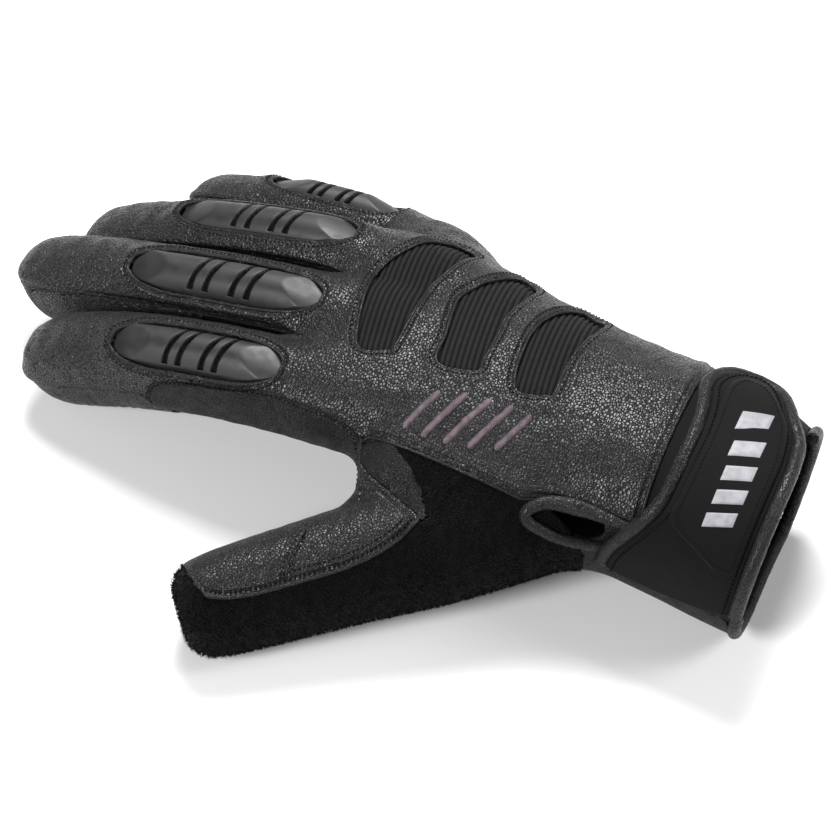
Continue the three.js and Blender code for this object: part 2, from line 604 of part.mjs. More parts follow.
function guardWindow(name) {
  const form = fingerForms[name];
  const { start, end, side: shift } = GUARDS[name];
  const grow = SEAM_GAP / (end - start) / form.length;
  const rings = [-grow, ...GUARD_PROFILE.map((row) => row.at), 1 + grow].map((at) => {
    const { point, side, up } = form.frame(start + (end - start) * at);
    const width = guardWidthAt(THREE.MathUtils.clamp(at, 0, 1)) + SEAM_GAP;
    return rectangle(-width, width, form.halfDepth / 2, 2 * form.halfDepth).map(([a, b]) => (
      point.clone().addScaledVector(side, a + shift * FINGER_WIDTH).addScaledVector(up, b)));
  });
  return solidOf(loft(rings));
}

// Rib panels are cut from the same wall, with the seam's clearance all round.
function ribPrism(outline, inset) {
  const points = outline.map(([x, y]) => new THREE.Vector2(x * HAND_LENGTH, y * HAND_WIDTH));
  const count = points.length;
  const drawnIn = points.map((p, i) => {
    const before = points[(i + count - 1) % count];
    const after = points[(i + 1) % count];
    const inward = (a, b) => new THREE.Vector2(b.y - a.y, a.x - b.x).normalize();
    const n = inward(before, p).add(inward(p, after)).normalize();
    return p.clone().addScaledVector(n, inset / Math.max(n.dot(inward(p, after)), 0.5));
  });
  const prism = new THREE.ExtrudeGeometry(new THREE.Shape(drawnIn), { depth: TALL, bevelEnabled: false });
  prism.translate(0, 0, RIB_FOOT * KNUCKLE_HEIGHT);
  return solidOf(prism);
}

let backPanel = mainBody(back);
const ribs = {};
for (const [name, outline] of Object.entries(RIB_PANELS)) {
  ribs[name] = backPanel.intersect(ribPrism(outline, SEAM_GAP));
  backPanel = backPanel.subtract(ribPrism(outline, 0));
}
for (const name of Object.keys(GUARDS)) backPanel = backPanel.subtract(guardWindow(name));

addNode('back_shell', mainBody(backPanel), leather);
addNode('palm_shell', mainBody(rest), softLeather);
addNode('index_guard', mainBody(indexGuard), softLeather);
addNode('wrist_band', mainBody(band), ribbed);
addNode('thumb_tip', mainBody(tipLeather), leather);
addNode('thumb_saddle', mainBody(saddleLeather), leather);
addNode('thumb_terry', mainBody(thumbTerry), terry);
for (const [name, solid] of Object.entries(fourchettes)) addNode(name, mainBody(solid), sideCloth);
for (const [name, solid] of Object.entries(ribs)) addNode(name, mainBody(solid), ribbed);
for (const name of Object.keys(GUARDS)) addNode(`knuckle_guard_${name}`, guardSolid(name), rubber);

// A sheet wrapped round the wrist between two offsets, its edges given by a table of angles.
function wristSheet(rows, low, high, across) {
  const rings = rows.map((row) => {
    const xs = Array.from({ length: across + 1 }, (_, i) => row.left + (row.right - row.left) * i / across);
    const angle = radians(row.angle);
    const lower = xs.map((x) => handPoint(x, angle, low));
    const upper = xs.map((x) => handPoint(x, angle, high));
    return [...lower, ...upper.reverse()];
  });
  return solidOf(loft(rings));
}
const tabTop = LAYER_GAP + TAB_THICKNESS;
const overlayBase = tabTop + LAYER_GAP;
addNode('closure_tab', wristSheet(TAB_ROWS, LAYER_GAP, tabTop, TAB_COLUMNS), neoprene);
const overlayTop = overlayBase + OVERLAY_THICKNESS;
addNode('tab_overlay', wristSheet(OVERLAY_ROWS, overlayBase, overlayTop, OVERLAY_COLUMNS), softLeather);

// Rolled leather edges: a round section carried along a path.
const rollRadius = BINDING_DIAMETER / 2;
const edgeReach = rollRadius + SEAM_GAP;
function rolledTube(points, steps) {
  const section = new THREE.Shape(Array.from({ length: ROLL_SIDES }, (_, i) => (
    new THREE.Vector2(rollRadius, 0).rotateAround(new THREE.Vector2(), 2 * Math.PI * i / ROLL_SIDES))));
  points.forEach((p) => { p.z = Math.max(p.z, edgeReach); });
  const extrudePath = new THREE.CatmullRomCurve3(points, false, 'centripetal');
  return solidOf(new THREE.ExtrudeGeometry(section, { steps, bevelEnabled: false, extrudePath }));
}

// Round the tab at edgeReach from its outline: up the outer edge, round its end and back along the inner edge.
const wristRadius = (HAND_SECTIONS.at(-1).width * HAND_WIDTH + WRIST_DEPTH) / 4;
const tabOutline = [
  ...TAB_ROWS.map((row) => new THREE.Vector2(row.right * HAND_LENGTH, radians(row.angle) * wristRadius)),
  ...TAB_ROWS.slice().reverse().map((row) => (
    new THREE.Vector2(row.left * HAND_LENGTH, radians(row.angle) * wristRadius))),
];
const edgePath = tabOutline.map((p, i) => {
  const before = tabOutline[Math.max(i - 1, 0)];
  const after = tabOutline[Math.min(i + 1, tabOutline.length - 1)];
  const outward = new THREE.Vector2(before.y - after.y, after.x - before.x).normalize();
  const q = p.clone().addScaledVector(outward, edgeReach);
  return handPoint(q.x / HAND_LENGTH, q.y / wristRadius, LAYER_GAP + rollRadius);
});
addNode('tab_binding', rolledTube(edgePath, ROLL_STEPS.tab), rolledEdge);

const mouthPath = Array.from({ length: MOUTH_POINTS }, (_, i) => {
  const angle = MOUTH_START + (MOUTH_END - MOUTH_START) * i / (MOUTH_POINTS - 1);
  return handPoint(1 + edgeReach / HAND_LENGTH, radians(angle), -LEATHER / 2);
});
addNode('mouth_binding', rolledTube(mouthPath, ROLL_STEPS.mouth), rolledEdge);

// Round the vent: a closed loop that lies on the outside of the wall.
const wall = new THREE.Mesh(geometryOf(outside), leather);
const ventPath = ventOutline(rollRadius).getSpacedPoints(VENT_POINTS).slice(0, -1).map(({ x, y }) => {
  const ray = new THREE.Raycaster(new THREE.Vector3(x, -2 * HAND_WIDTH, y), new THREE.Vector3(0, 1, 0));
  const { point, face } = ray.intersectObject(wall)[0];
  point.y -= (rollRadius + 2 * LAYER_GAP) / Math.max(-face.normal.y, VENT_SLOPE);
  return point;
});
const ventCurve = new THREE.CatmullRomCurve3(ventPath, true, 'centripetal');
const ventRoll = new THREE.TubeGeometry(ventCurve, ROLL_STEPS.vent, rollRadius, ROLL_SIDES, true);
addNode('vent_binding', solidOf(ventRoll), rolledEdge);

// The model stands on its lowest point, with the middle of its outline at the origin.
const glove = new THREE.Group();
glove.add(...nodes);
const bounds = new THREE.Box3().setFromObject(glove);
const middle = bounds.getCenter(new THREE.Vector3());
glove.position.set(-middle.x, -middle.y, -bounds.min.z);

export default glove;
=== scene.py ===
import bpy
import numpy as np
from mathutils import Matrix


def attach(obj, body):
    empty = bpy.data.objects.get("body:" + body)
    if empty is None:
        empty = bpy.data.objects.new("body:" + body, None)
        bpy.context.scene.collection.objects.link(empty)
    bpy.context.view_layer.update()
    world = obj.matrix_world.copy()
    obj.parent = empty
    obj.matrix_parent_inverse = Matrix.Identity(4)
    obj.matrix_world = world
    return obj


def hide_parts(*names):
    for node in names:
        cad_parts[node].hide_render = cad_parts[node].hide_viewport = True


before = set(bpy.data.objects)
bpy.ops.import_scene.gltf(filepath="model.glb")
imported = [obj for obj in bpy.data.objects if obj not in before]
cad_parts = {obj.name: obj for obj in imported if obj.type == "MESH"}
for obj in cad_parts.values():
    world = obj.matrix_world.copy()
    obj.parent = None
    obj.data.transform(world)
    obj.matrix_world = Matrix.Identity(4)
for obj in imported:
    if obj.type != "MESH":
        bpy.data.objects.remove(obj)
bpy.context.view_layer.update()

# The studio: a pale floor under the glove, one broad soft lamp overhead and two weaker ones at the sides,
# and the camera that looks down across the fingers from the thumb side, as in the photograph.
MODEL_SHIFT = np.array([-5.39, 22.27, 0.0])  # from the pattern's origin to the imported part's, mm
CAMERA_TURN, CAMERA_TILT, CAMERA_DISTANCE = np.radians(23.0), np.radians(50.0), 1000.0
LENS_PIXELS, PHOTO_WIDTH, SENSOR = 3450.0, 831, 36.0
across = np.array([np.cos(CAMERA_TURN), np.sin(CAMERA_TURN), 0.0])
toward = np.array([np.sin(CAMERA_TURN) * np.cos(CAMERA_TILT), -np.cos(CAMERA_TURN) * np.cos(CAMERA_TILT),
                   np.sin(CAMERA_TILT)])
upward = np.cross(toward, across)
eye = (9.0 * across + 4.0 * upward + CAMERA_DISTANCE * toward + MODEL_SHIFT) / 1000


def aimed(position, right, up, back):
    """Matrix of a lamp or camera whose axes are right, up and back."""
    m = Matrix.Identity(4)
    for i, axis in enumerate((right, up, back, position)):
        for j in range(3):
            m[j][i] = axis[j]
    return m


camera = bpy.data.objects.new("camera", bpy.data.cameras.new("camera"))
camera.data.sensor_width = SENSOR
camera.data.lens = LENS_PIXELS * SENSOR / PHOTO_WIDTH
camera.data.clip_start, camera.data.clip_end = 0.05, 20
camera.matrix_world = aimed(eye, across, upward, toward)
bpy.context.scene.collection.objects.link(camera)
bpy.context.scene.camera = camera


def softbox(name, position, target, size, watts):
    """A square lamp at position that faces target."""
    back = np.subtract(position, target)
    back /= np.linalg.norm(back)
    right = np.cross((0, 1, 0.001), back)
    right /= np.linalg.norm(right)
    lamp = bpy.data.objects.new(name, bpy.data.lights.new(name, "AREA"))
    lamp.data.size, lamp.data.energy = size, watts
    lamp.matrix_world = aimed(position, right, np.cross(back, right), back)
    bpy.context.scene.collection.objects.link(lamp)


softbox("lamp_overhead", (-0.2, 0.62, 1.0), (0, 0, 0.02), 0.6, 25)
softbox("lamp_thumb_side", (-0.38, -0.95, 0.78), (0, 0, 0.02), 0.4, 16)
softbox("lamp_cuff_side", (0.9, 0.3, 0.7), (0, 0, 0.02), 0.4, 6)
world = bpy.data.worlds.new("studio")
world.use_nodes = True
world.node_tree.nodes["Background"].inputs["Color"].default_value = (1, 1, 1, 1)
world.node_tree.nodes["Background"].inputs["Strength"].default_value = 0.16
bpy.context.scene.world = world
bpy.context.scene.view_settings.view_transform = "Standard"


def finish_kind(name, colour, roughness):
    """A new material with its shader, colour and roughness."""
    material = bpy.data.materials.new(name)
    material.use_nodes = True
    shader = material.node_tree.nodes["Principled BSDF"]
    shader.inputs["Base Color"].default_value = (*colour, 1)
    shader.inputs["Roughness"].default_value = roughness
    return material, shader


floor_mesh = bpy.data.meshes.new("floor")
floor_mesh.from_pydata([(-3, -3, 0), (3, -3, 0), (3, 3, 0), (-3, 3, 0)], [], [(0, 1, 2, 3)])
floor = bpy.data.objects.new("floor", floor_mesh)
floor.location.z = -0.0002
bpy.context.scene.collection.objects.link(floor)
paper, paper_shader = finish_kind("pale_paper", (0.86, 0.86, 0.86), 0.9)
floor_mesh.materials.append(paper)

# The hand and its digits: one skin of leather and cloth over lofted fingers, thumb and wrist.
# Its form is a distance to superellipse sections carried along bent centre lines, blended where they meet,
# and every sewn panel below is cut from it.
HAND_LENGTH, HAND_WIDTH, KNUCKLE_HEIGHT, WRIST_DEPTH = 120.0, 86.0, 40.0, 56.0
FINGER_LENGTH, FINGER_WIDTH, FINGER_DEPTH = 117.0, 23.8, 25.6
THUMB_LENGTH, THUMB_WIDTH, THUMB_DEPTH = 122.0, 29.6, 28.4
ROUNDNESS = 2.35
LEATHER = 1.6
FINGER_SECTIONS = np.array([  # share of the length, width, depth, pad side
    (-0.14, 0.5, 0.6, 1), (0, 0.95, 0.98, 1), (0.2, 1, 1.02, 1.02), (0.45, 0.99, 1, 1.1),
    (0.7, 0.97, 0.95, 1.28), (0.86, 0.93, 0.86, 1.46), (0.95, 0.8, 0.7, 1.6), (1, 0.55, 0.46, 1.5)])
THUMB_SECTIONS = np.array([
    (0, 1, 1.15, 1), (0.22, 1.12, 1.26, 1), (0.42, 1.14, 1.22, 1), (0.62, 1.05, 1.07, 1),
    (0.84, 0.98, 0.95, 1.04), (0.95, 0.9, 0.86, 1.04), (1, 0.74, 0.68, 1)])
WEB_SECTIONS = np.array([(0, 1, 1, 1), (0.5, 1, 1, 1), (0.85, 0.8, 0.86, 1), (1, 0.5, 0.6, 1)])
HAND_SECTIONS = np.array([  # share of the length, y, height of the underside, width, depth, roll
    (-0.167, 0.105, 0.612, 0.86, 0.32, -9), (-0.1, 0.093, 0.512, 0.977, 0.48, -9),
    (0.042, 0.058, 0.45, 0.977, 0.59, -9), (0.233, -0.006, 0.375, 0.895, 0.68, -8),
    (0.458, -0.047, 0.212, 0.814, 0.8, -5), (0.667, -0.064, 0.05, 0.767, 0.93, -2),
    (0.817, -0.087, -0.015, 0.744, 1, 0), (0.917, -0.108, -0.02, 0.75, 0.98, -4),
    (1, -0.134, -0.02, 0.733, 0.93, -9)])
MOUTH_SLANT, SLANT_START = 0.11, 0.667  # lean of the cuff's sections, and the share where it starts


def table(rows, column, at):
    """A smooth curve through a column: cubic pieces between rows, whose slope at a row is the rise from the
    row before to the row after over their distance."""
    keys, values = rows[:, 0], rows[:, column]
    n = np.arange(len(keys))
    before, after = np.maximum(n - 1, 0), np.minimum(n + 1, len(keys) - 1)
    slopes = (values[after] - values[before]) / (keys[after] - keys[before])
    i = np.clip(np.searchsorted(keys, at) - 1, 0, len(keys) - 2)
    span = keys[i + 1] - keys[i]
    t = np.clip((at - keys[i]) / span, 0, 1)
    return ((2 * t**3 - 3 * t**2 + 1) * values[i] + (t**3 - 2 * t**2 + t) * span * slopes[i]
            + (3 * t**2 - 2 * t**3) * values[i + 1] + (t**3 - t**2) * span * slopes[i + 1])


def digit(x, y, z, size, splay, droop, roll, sections):
    """A digit: its length, half width and half depth, and its centre line, which is the sum of short steps
    in the direction given by splay and droop, with the directions along, across and up at each step."""
    shares = np.linspace(-0.25, 1.15, 281)
    bend = np.radians(table(np.array([(0, droop[0]), (0.5, droop[1]), (1, droop[2])], float), 1, shares))
    turn = np.radians(splay)
    along = np.stack([-np.cos(turn) * np.cos(bend), np.sin(turn) * np.cos(bend), -np.sin(bend)], 1)
    steps = (along[1:] + along[:-1]) / 2 * (shares[1] - shares[0]) * size[0]
    line = np.vstack([np.zeros(3), np.cumsum(steps, 0)])
    root = np.array([x * HAND_LENGTH, y * HAND_WIDTH, z * KNUCKLE_HEIGHT])
    line += root - np.array([np.interp(0, shares, line[:, i]) for i in range(3)])
    level = np.array([np.sin(turn), np.cos(turn), 0.0])
    upright = np.cross(level, along)
    tip = np.radians(roll)
    return {"length": size[0], "half_width": size[1] / 2, "half_depth": size[2] / 2, "sections": sections,
            "round": min(5.0, size[0] / 20),
            "shares": shares, "line": line, "along": along,
            "side": level * np.cos(tip) + upright * np.sin(tip),
            "up": upright * np.cos(tip) - level * np.sin(tip)}


def finger(x, y, z, length, width, depth, splay, droop, roll):
    """A finger whose length, width and depth are shares of the middle one's."""
    size = (length * FINGER_LENGTH, width * FINGER_WIDTH, depth * FINGER_DEPTH)
    return digit(x, y, z, size, splay, droop, roll, FINGER_SECTIONS)


FINGERS = {
    "index": finger(0.017, -0.285, 0.925, 0.906, 1, 1, 0.6, (2, 13.5, 30), 10),
    "middle": finger(0, -0.006, 1, 1, 1, 1, 1.2, (4, 13, 17), 4),
    "ring": finger(0.033, 0.273, 0.938, 0.957, 0.983, 0.97, 0.8, (2, 14.8, 25), -6),
    "little": finger(0.025, 0.47, 0.7, 0.722, 0.924, 0.875, 4, (2, 7.5, 16), -18),
}
THUMB = digit(0.625, -0.192, 0.638, (THUMB_LENGTH, THUMB_WIDTH, THUMB_DEPTH), -38.5, (5, 6, 7), 50,
              THUMB_SECTIONS)
WEB_SIZE = (0.353 * THUMB_LENGTH, 0.85 * THUMB_WIDTH, 0.834 * THUMB_DEPTH)
WEB = digit(0.441, -0.324, 0.835, WEB_SIZE, -19.4, (0, 0, 0), 0, WEB_SECTIONS)


def along_line(d, name, share):
    """A digit's line or one of its directions at a share of its length, read between steps."""
    return np.stack([np.interp(share, d["shares"], d[name][:, i]) for i in range(3)], 1)


def on_digit(d, p):
    """Share of the digit's length and distances across and up from its centre line: the share is moved by the
    point's distance ahead of the section there until the point lies in the section."""
    chord = along_line(d, "along", np.full(1, 0.4))[0]
    share = (p - along_line(d, "line", np.zeros(1))) @ chord / d["length"]
    for _ in range(5):
        share = np.clip(share, -0.25, 1.12)
        rest = p - along_line(d, "line", share)
        share = share + (rest * along_line(d, "along", share)).sum(1) / d["length"]
    held = np.clip(share, -0.25, 1.15)
    rest = p - along_line(d, "line", held)
    return share, (rest * along_line(d, "side", held)).sum(1), (rest * along_line(d, "up", held)).sum(1)


def soft_max(a, b, radius):
    """The larger of two distances, rounded off over radius where they are near each other."""
    h = np.maximum(radius - np.abs(a - b), 0) / radius
    return np.maximum(a, b) + h * h * radius / 4


def soft_min(a, b, radius):
    """The smaller of two distances, rounded off over radius where they are near each other."""
    return -soft_max(-a, -b, radius)


def beyond_section(a, b, width, depth):
    """How far a point lies outside a superellipse, measured on the ray from its middle."""
    r = (np.abs(a / width) ** ROUNDNESS + np.abs(b / depth) ** ROUNDNESS) ** (1 / ROUNDNESS)
    return np.hypot(a, b) * (1 - 1 / np.maximum(r, 0.2))


def from_digit(d, p, far=30.0):
    """Distance outside a digit: round it, and past its two ends. Points far from it all get the value far."""
    root, tip = along_line(d, "line", np.array([-0.14, 1.0]))
    share = np.clip((p - root) @ (tip - root) / ((tip - root) @ (tip - root)), 0, 1)
    near = np.linalg.norm(p - root - share[:, None] * (tip - root), axis=1) < far + 10
    out = np.full(len(p), far)
    t, a, b = on_digit(d, p[near])
    rows = d["sections"]
    held = np.clip(t, rows[0, 0], 1)
    depth = d["half_depth"] * table(rows, 2, held) * np.where(b < 0, table(rows, 3, held), 1)
    around = beyond_section(a, b, d["half_width"] * table(rows, 1, held), depth)
    ends = np.maximum((t - 1) * d["length"] - 0.8, (rows[0, 0] - t) * d["length"])
    out[near] = np.minimum(soft_max(around, ends, d["round"]), far)
    return out


def on_hand(p):
    """Share of the hand's length and distances across and up from its middle. The cuff's sections lean, so
    the share is found again with the lean of the height above the middle taken off."""
    share = p[:, 0] / HAND_LENGTH
    for _ in range(4):
        middle = (table(HAND_SECTIONS, 2, share) * KNUCKLE_HEIGHT
                  + table(HAND_SECTIONS, 4, share) * WRIST_DEPTH / 2)
        growth = np.clip((share - SLANT_START) / (HAND_SECTIONS[-2, 0] - SLANT_START), 0, 1)
        share = (p[:, 0] - MOUTH_SLANT * growth * (p[:, 2] - middle)) / HAND_LENGTH
    roll = np.radians(table(HAND_SECTIONS, 5, share))
    y, z = p[:, 1] - table(HAND_SECTIONS, 1, share) * HAND_WIDTH, p[:, 2] - middle
    return share, y * np.cos(roll) + z * np.sin(roll), z * np.cos(roll) - y * np.sin(roll)


def from_hand(p):
    """Distance outside the hand and the cuff, which run on past the mouth."""
    share, a, b = on_hand(p)
    width = table(HAND_SECTIONS, 3, share) * HAND_WIDTH / 2
    depth = table(HAND_SECTIONS, 4, share) * WRIST_DEPTH / 2
    return soft_max(beyond_section(a, b, width, depth), (HAND_SECTIONS[0, 0] - share) * HAND_LENGTH, 6.0)


FINGER_GAP = 1.3  # free space between neighbouring fingers


def skin(p):
    """Distance outside the whole form: each finger keeps half the gap from the surface midway to its
    neighbours, is blended into the hand, and the nearest is taken. The thumb and its web are blended on."""
    hand = from_hand(p)
    rows = [from_digit(d, p) for d in FINGERS.values()]
    body = hand
    for i, row in enumerate(rows):
        for j in (i - 1, i + 1):
            if 0 <= j < len(rows):
                row = np.maximum(row, (rows[i] - rows[j] + FINGER_GAP) / 2)
        body = np.minimum(body, soft_min(hand, row, 7.0))
    thumb = soft_min(from_digit(THUMB, p), from_digit(WEB, p), 8.0)
    return soft_max(soft_min(body, thumb, 8.0), -p[:, 2], 2.0)


def slope(field, p, step=0.04, value=None):
    """The gradient of a field at points, by differences over a short step along each axis."""
    value = field(p) if value is None else value
    return np.stack([(field(p + step * axis) - value) / step for axis in np.eye(3)], 1)


def onto_skin(p, rounds=2):
    """Points moved along the skin's gradient onto it, and the outward normals there."""
    for _ in range(rounds):
        value = skin(p)
        g = slope(skin, p, value=value)
        p = p - (value / np.maximum((g * g).sum(1), 0.05))[:, None] * g
    if rounds < 2:
        return p, g / np.linalg.norm(g, axis=1)[:, None]
    g = slope(skin, p)
    return p, g / np.linalg.norm(g, axis=1)[:, None]


def onto_line(p, field, level=0.0, rounds=6):
    """Points moved along the skin to where a field has a level, in turns with moves onto the skin."""
    for _ in range(rounds):
        p, n = onto_skin(p, 1)
        g = slope(field, p)
        g -= (g * n).sum(1)[:, None] * n
        size = np.maximum((g * g).sum(1), 0.15)
        move = ((field(p) - level) / size)[:, None] * g
        reach = np.maximum(np.linalg.norm(move, axis=1), 1e-9)
        p = p - move * (np.minimum(reach, 2.0) / reach)[:, None]
    return onto_skin(p, 2)


def surface_net(field, low, high, pitch):
    """Quads of a surface where field is zero. A coarse grid finds the blocks near it, whose points are worked
    out finely. Each cell that the surface crosses has one vertex, at the mean of the crossings on its edges,
    and each grid edge that it crosses has one quad through the four cells round it."""
    block = 5
    count = np.ceil((high - low) / (pitch * block)).astype(int)
    axes = [low[i] + pitch * block * (np.arange(count[i]) + 0.5) for i in range(3)]
    coarse = field(np.stack(np.meshgrid(*axes, indexing="ij"), -1).reshape(-1, 3)).reshape(count)
    values = coarse
    for i in range(3):
        values = np.repeat(values, block, axis=i)
    near = np.abs(values) < pitch * block * 1.3
    values = np.where(near, 0.0, values)
    where = np.argwhere(near)
    values[near] = field(low + pitch * (where + 0.5))
    inside = values < 0
    size = np.array(values.shape) - 1
    corner = [np.array((a, b, c)) for a in (0, 1) for b in (0, 1) for c in (0, 1)]
    part = [inside[c[0]:size[0] + c[0], c[1]:size[1] + c[1], c[2]:size[2] + c[2]] for c in corner]
    total = np.sum(part, axis=0)
    cells = np.argwhere((total > 0) & (total < 8))
    at = [values[tuple((cells + c).T)] for c in corner]
    place = np.zeros((len(cells), 3))
    weight = np.zeros(len(cells))
    for i in range(8):
        for j in range(i + 1, 8):
            if np.abs(corner[i] - corner[j]).sum() == 1:
                crossing = (at[i] < 0) != (at[j] < 0)
                share = at[i] / np.where(crossing, at[i] - at[j], 1)
                place += np.where(crossing[:, None], corner[i] + share[:, None] * (corner[j] - corner[i]), 0)
                weight += crossing
    vertices = low + pitch * (cells + 0.5 + place / weight[:, None])
    number = np.full(size, -1)
    number[tuple(cells.T)] = np.arange(len(cells))
    quads = []
    for axis in range(3):
        step = np.eye(3, dtype=int)
        u, v = step[(axis + 1) % 3], step[(axis + 2) % 3]
        here = np.argwhere(inside[:-1, :-1, :-1] != np.roll(inside, -1, axis)[:-1, :-1, :-1])
        here = here[(here[:, (axis + 1) % 3] > 0) & (here[:, (axis + 2) % 3] > 0)]
        ring = np.stack([number[tuple((here - w).T)] for w in (u * 0, u, u + v, v)], 1)
        back = inside[tuple(here.T)]
        quads.append(np.where(back[:, None], ring, ring[:, ::-1]))
    return vertices, np.vstack(quads)


PITCH = 0.86  # cell of the skin's net
FORM_LOW, FORM_HIGH = np.array([-125.0, -110.0, -2.0]), np.array([132.0, 56.0, 66.0])
form_points, form_quads = surface_net(skin, FORM_LOW, FORM_HIGH, PITCH)
form_points, form_normals = onto_skin(form_points)
form_corners = np.vstack([form_quads[:, [0, 1, 2]], form_quads[:, [0, 2, 3]]])


def to_metres(p):
    """The pattern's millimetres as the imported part's metres."""
    return (np.asarray(p) + MODEL_SHIFT) / 1000


def free_sides(faces, count):
    """The sides of faces that no other face shares, as their two ends' numbers."""
    corners = faces.shape[1]
    sides = np.vstack([faces[:, [k, (k + 1) % corners]] for k in range(corners)])
    free = ~np.isin(sides[:, 1] * count + sides[:, 0], sides[:, 0] * count + sides[:, 1])
    return sides[free].T


def ripples(p, wavelength, seed, count=14):
    """A smooth random field between about -1 and 1: the mean of waves of one length in random directions."""
    draw = np.random.default_rng(seed)
    direction = draw.normal(size=(count, 3))
    direction *= 2 * np.pi / wavelength / np.linalg.norm(direction, axis=1)[:, None]
    return np.sin(p @ direction.T + draw.uniform(0, 2 * np.pi, count)).mean(1) * 2.4


def inland(field, p, n, reach=9.0):
    """Distance on the skin from a panel's edge: the field over the steepness of its slope along the skin."""
    value = field(p)
    near = np.abs(value) < reach
    g = slope(field, p[near])
    g -= (g * n[near]).sum(1)[:, None] * n[near]
    out = np.clip(value, -reach, reach)
    out[near] = value[near] / np.clip(np.linalg.norm(g, axis=1), 0.3, 3.0)
    return out


def least(p, *fields):
    """The least of several fields, each worked out only where those before it leave a point in play."""
    out = np.full(len(p), 30.0)
    for field in fields:
        some = out > -3.5
        out[some] = np.minimum(out[some], field(p[some]))
    return out


def cut_panel(field):
    """The part of the skin where a field is over zero. Points close to its edge are moved onto it, and
    triangles across it are clipped where the field, straight along each side, is zero."""
    value = field(form_points)
    keep = (value[form_corners] > -2.5).any(1) & (value[form_corners] >= 0).any(1)
    used = np.unique(form_corners[keep])
    number = np.full(len(form_points), -1)
    number[used] = np.arange(len(used))
    points, value, corners = form_points[used].copy(), value[used], number[form_corners[keep]]
    close = np.flatnonzero(np.abs(value) < 0.42 * PITCH)
    g = slope(field, points[close])
    n = form_normals[used][close]
    g -= (g * n).sum(1)[:, None] * n
    size = (g * g).sum(1)
    move = -(value[close] / np.maximum(size, 0.1))[:, None] * g
    good = (np.linalg.norm(move, axis=1) < 0.45 * PITCH) & (size > 0.1)
    close, move = close[good], move[good]
    moved = points[close] + move
    good = np.abs(field(moved)) < 0.12
    points[close[good]] = moved[good]
    value[close[good]] = 0
    inside = value >= 0
    total = inside[corners].sum(1)
    pieces, cuts = [corners[total == 3]], []
    for kind in (1, 2):
        rows = corners[total == kind]
        odd = inside[rows] if kind == 1 else ~inside[rows]
        first = odd.argmax(1)
        cuts.append([rows[np.arange(len(rows)), (first + k) % 3] for k in range(3)])
    pairs = np.vstack([np.sort(np.stack(pair, 1), 1) for a, b, c in cuts for pair in ((a, b), (a, c))])
    unique, back = np.unique(pairs, axis=0, return_inverse=True)
    back = back.reshape(-1)
    u, v = unique.T
    share = np.clip(value[u] / np.where(value[u] == value[v], 1, value[u] - value[v]), 0, 1)[:, None]
    new = points[u] * (1 - share) + points[v] * share
    number = len(points) + np.arange(len(unique))
    number = np.where(value[u] == 0, u, np.where(value[v] == 0, v, number))
    at = 0
    for kind, (a, b, c) in zip((1, 2), cuts):
        ab, ac = number[back[at:at + len(a)]], number[back[at + len(a):at + 2 * len(a)]]
        at += 2 * len(a)
        if kind == 1:
            pieces.append(np.stack([a, ab, ac], 1))
        else:
            pieces += [np.stack([b, c, ac], 1), np.stack([b, ac, ab], 1)]
    points, corners = np.vstack([points, new]), np.vstack(pieces)
    whole = (corners != np.roll(corners, 1, axis=1)).all(1)
    used, corners = np.unique(corners[whole], return_inverse=True)
    points, corners = points[used], corners.reshape(-1, 3)
    area = np.linalg.norm(np.cross(points[corners[:, 1]] - points[corners[:, 0]],
                                   points[corners[:, 2]] - points[corners[:, 0]]), axis=1)
    return points, corners[area > 1e-5]


def mesh_piece(name, points, faces, material, inner=None, inner_from=None):
    """A piece from points in the pattern's millimetres and faces of three or four corners. Faces from
    inner_from on get the inner material."""
    mesh = bpy.data.meshes.new(name)
    faces = np.asarray(faces)
    mesh.vertices.add(len(points))
    mesh.vertices.foreach_set("co", to_metres(points).astype(np.float32).ravel())
    mesh.loops.add(faces.size)
    mesh.loops.foreach_set("vertex_index", faces.astype(np.int32).ravel())
    mesh.polygons.add(len(faces))
    mesh.polygons.foreach_set("loop_start", np.arange(0, faces.size, faces.shape[1], dtype=np.int32))
    mesh.update(calc_edges=True)
    mesh.materials.append(material)
    if inner:
        mesh.materials.append(inner)
        mesh.polygons.foreach_set("material_index", (np.arange(len(faces)) >= inner_from).astype(np.int32))
    mesh.shade_smooth()
    piece = bpy.data.objects.new(name, mesh)
    bpy.context.scene.collection.objects.link(piece)
    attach(piece, "root")
    return piece


SPIKE = 0.7  # a point further than this from the mean of its neighbours is put back there


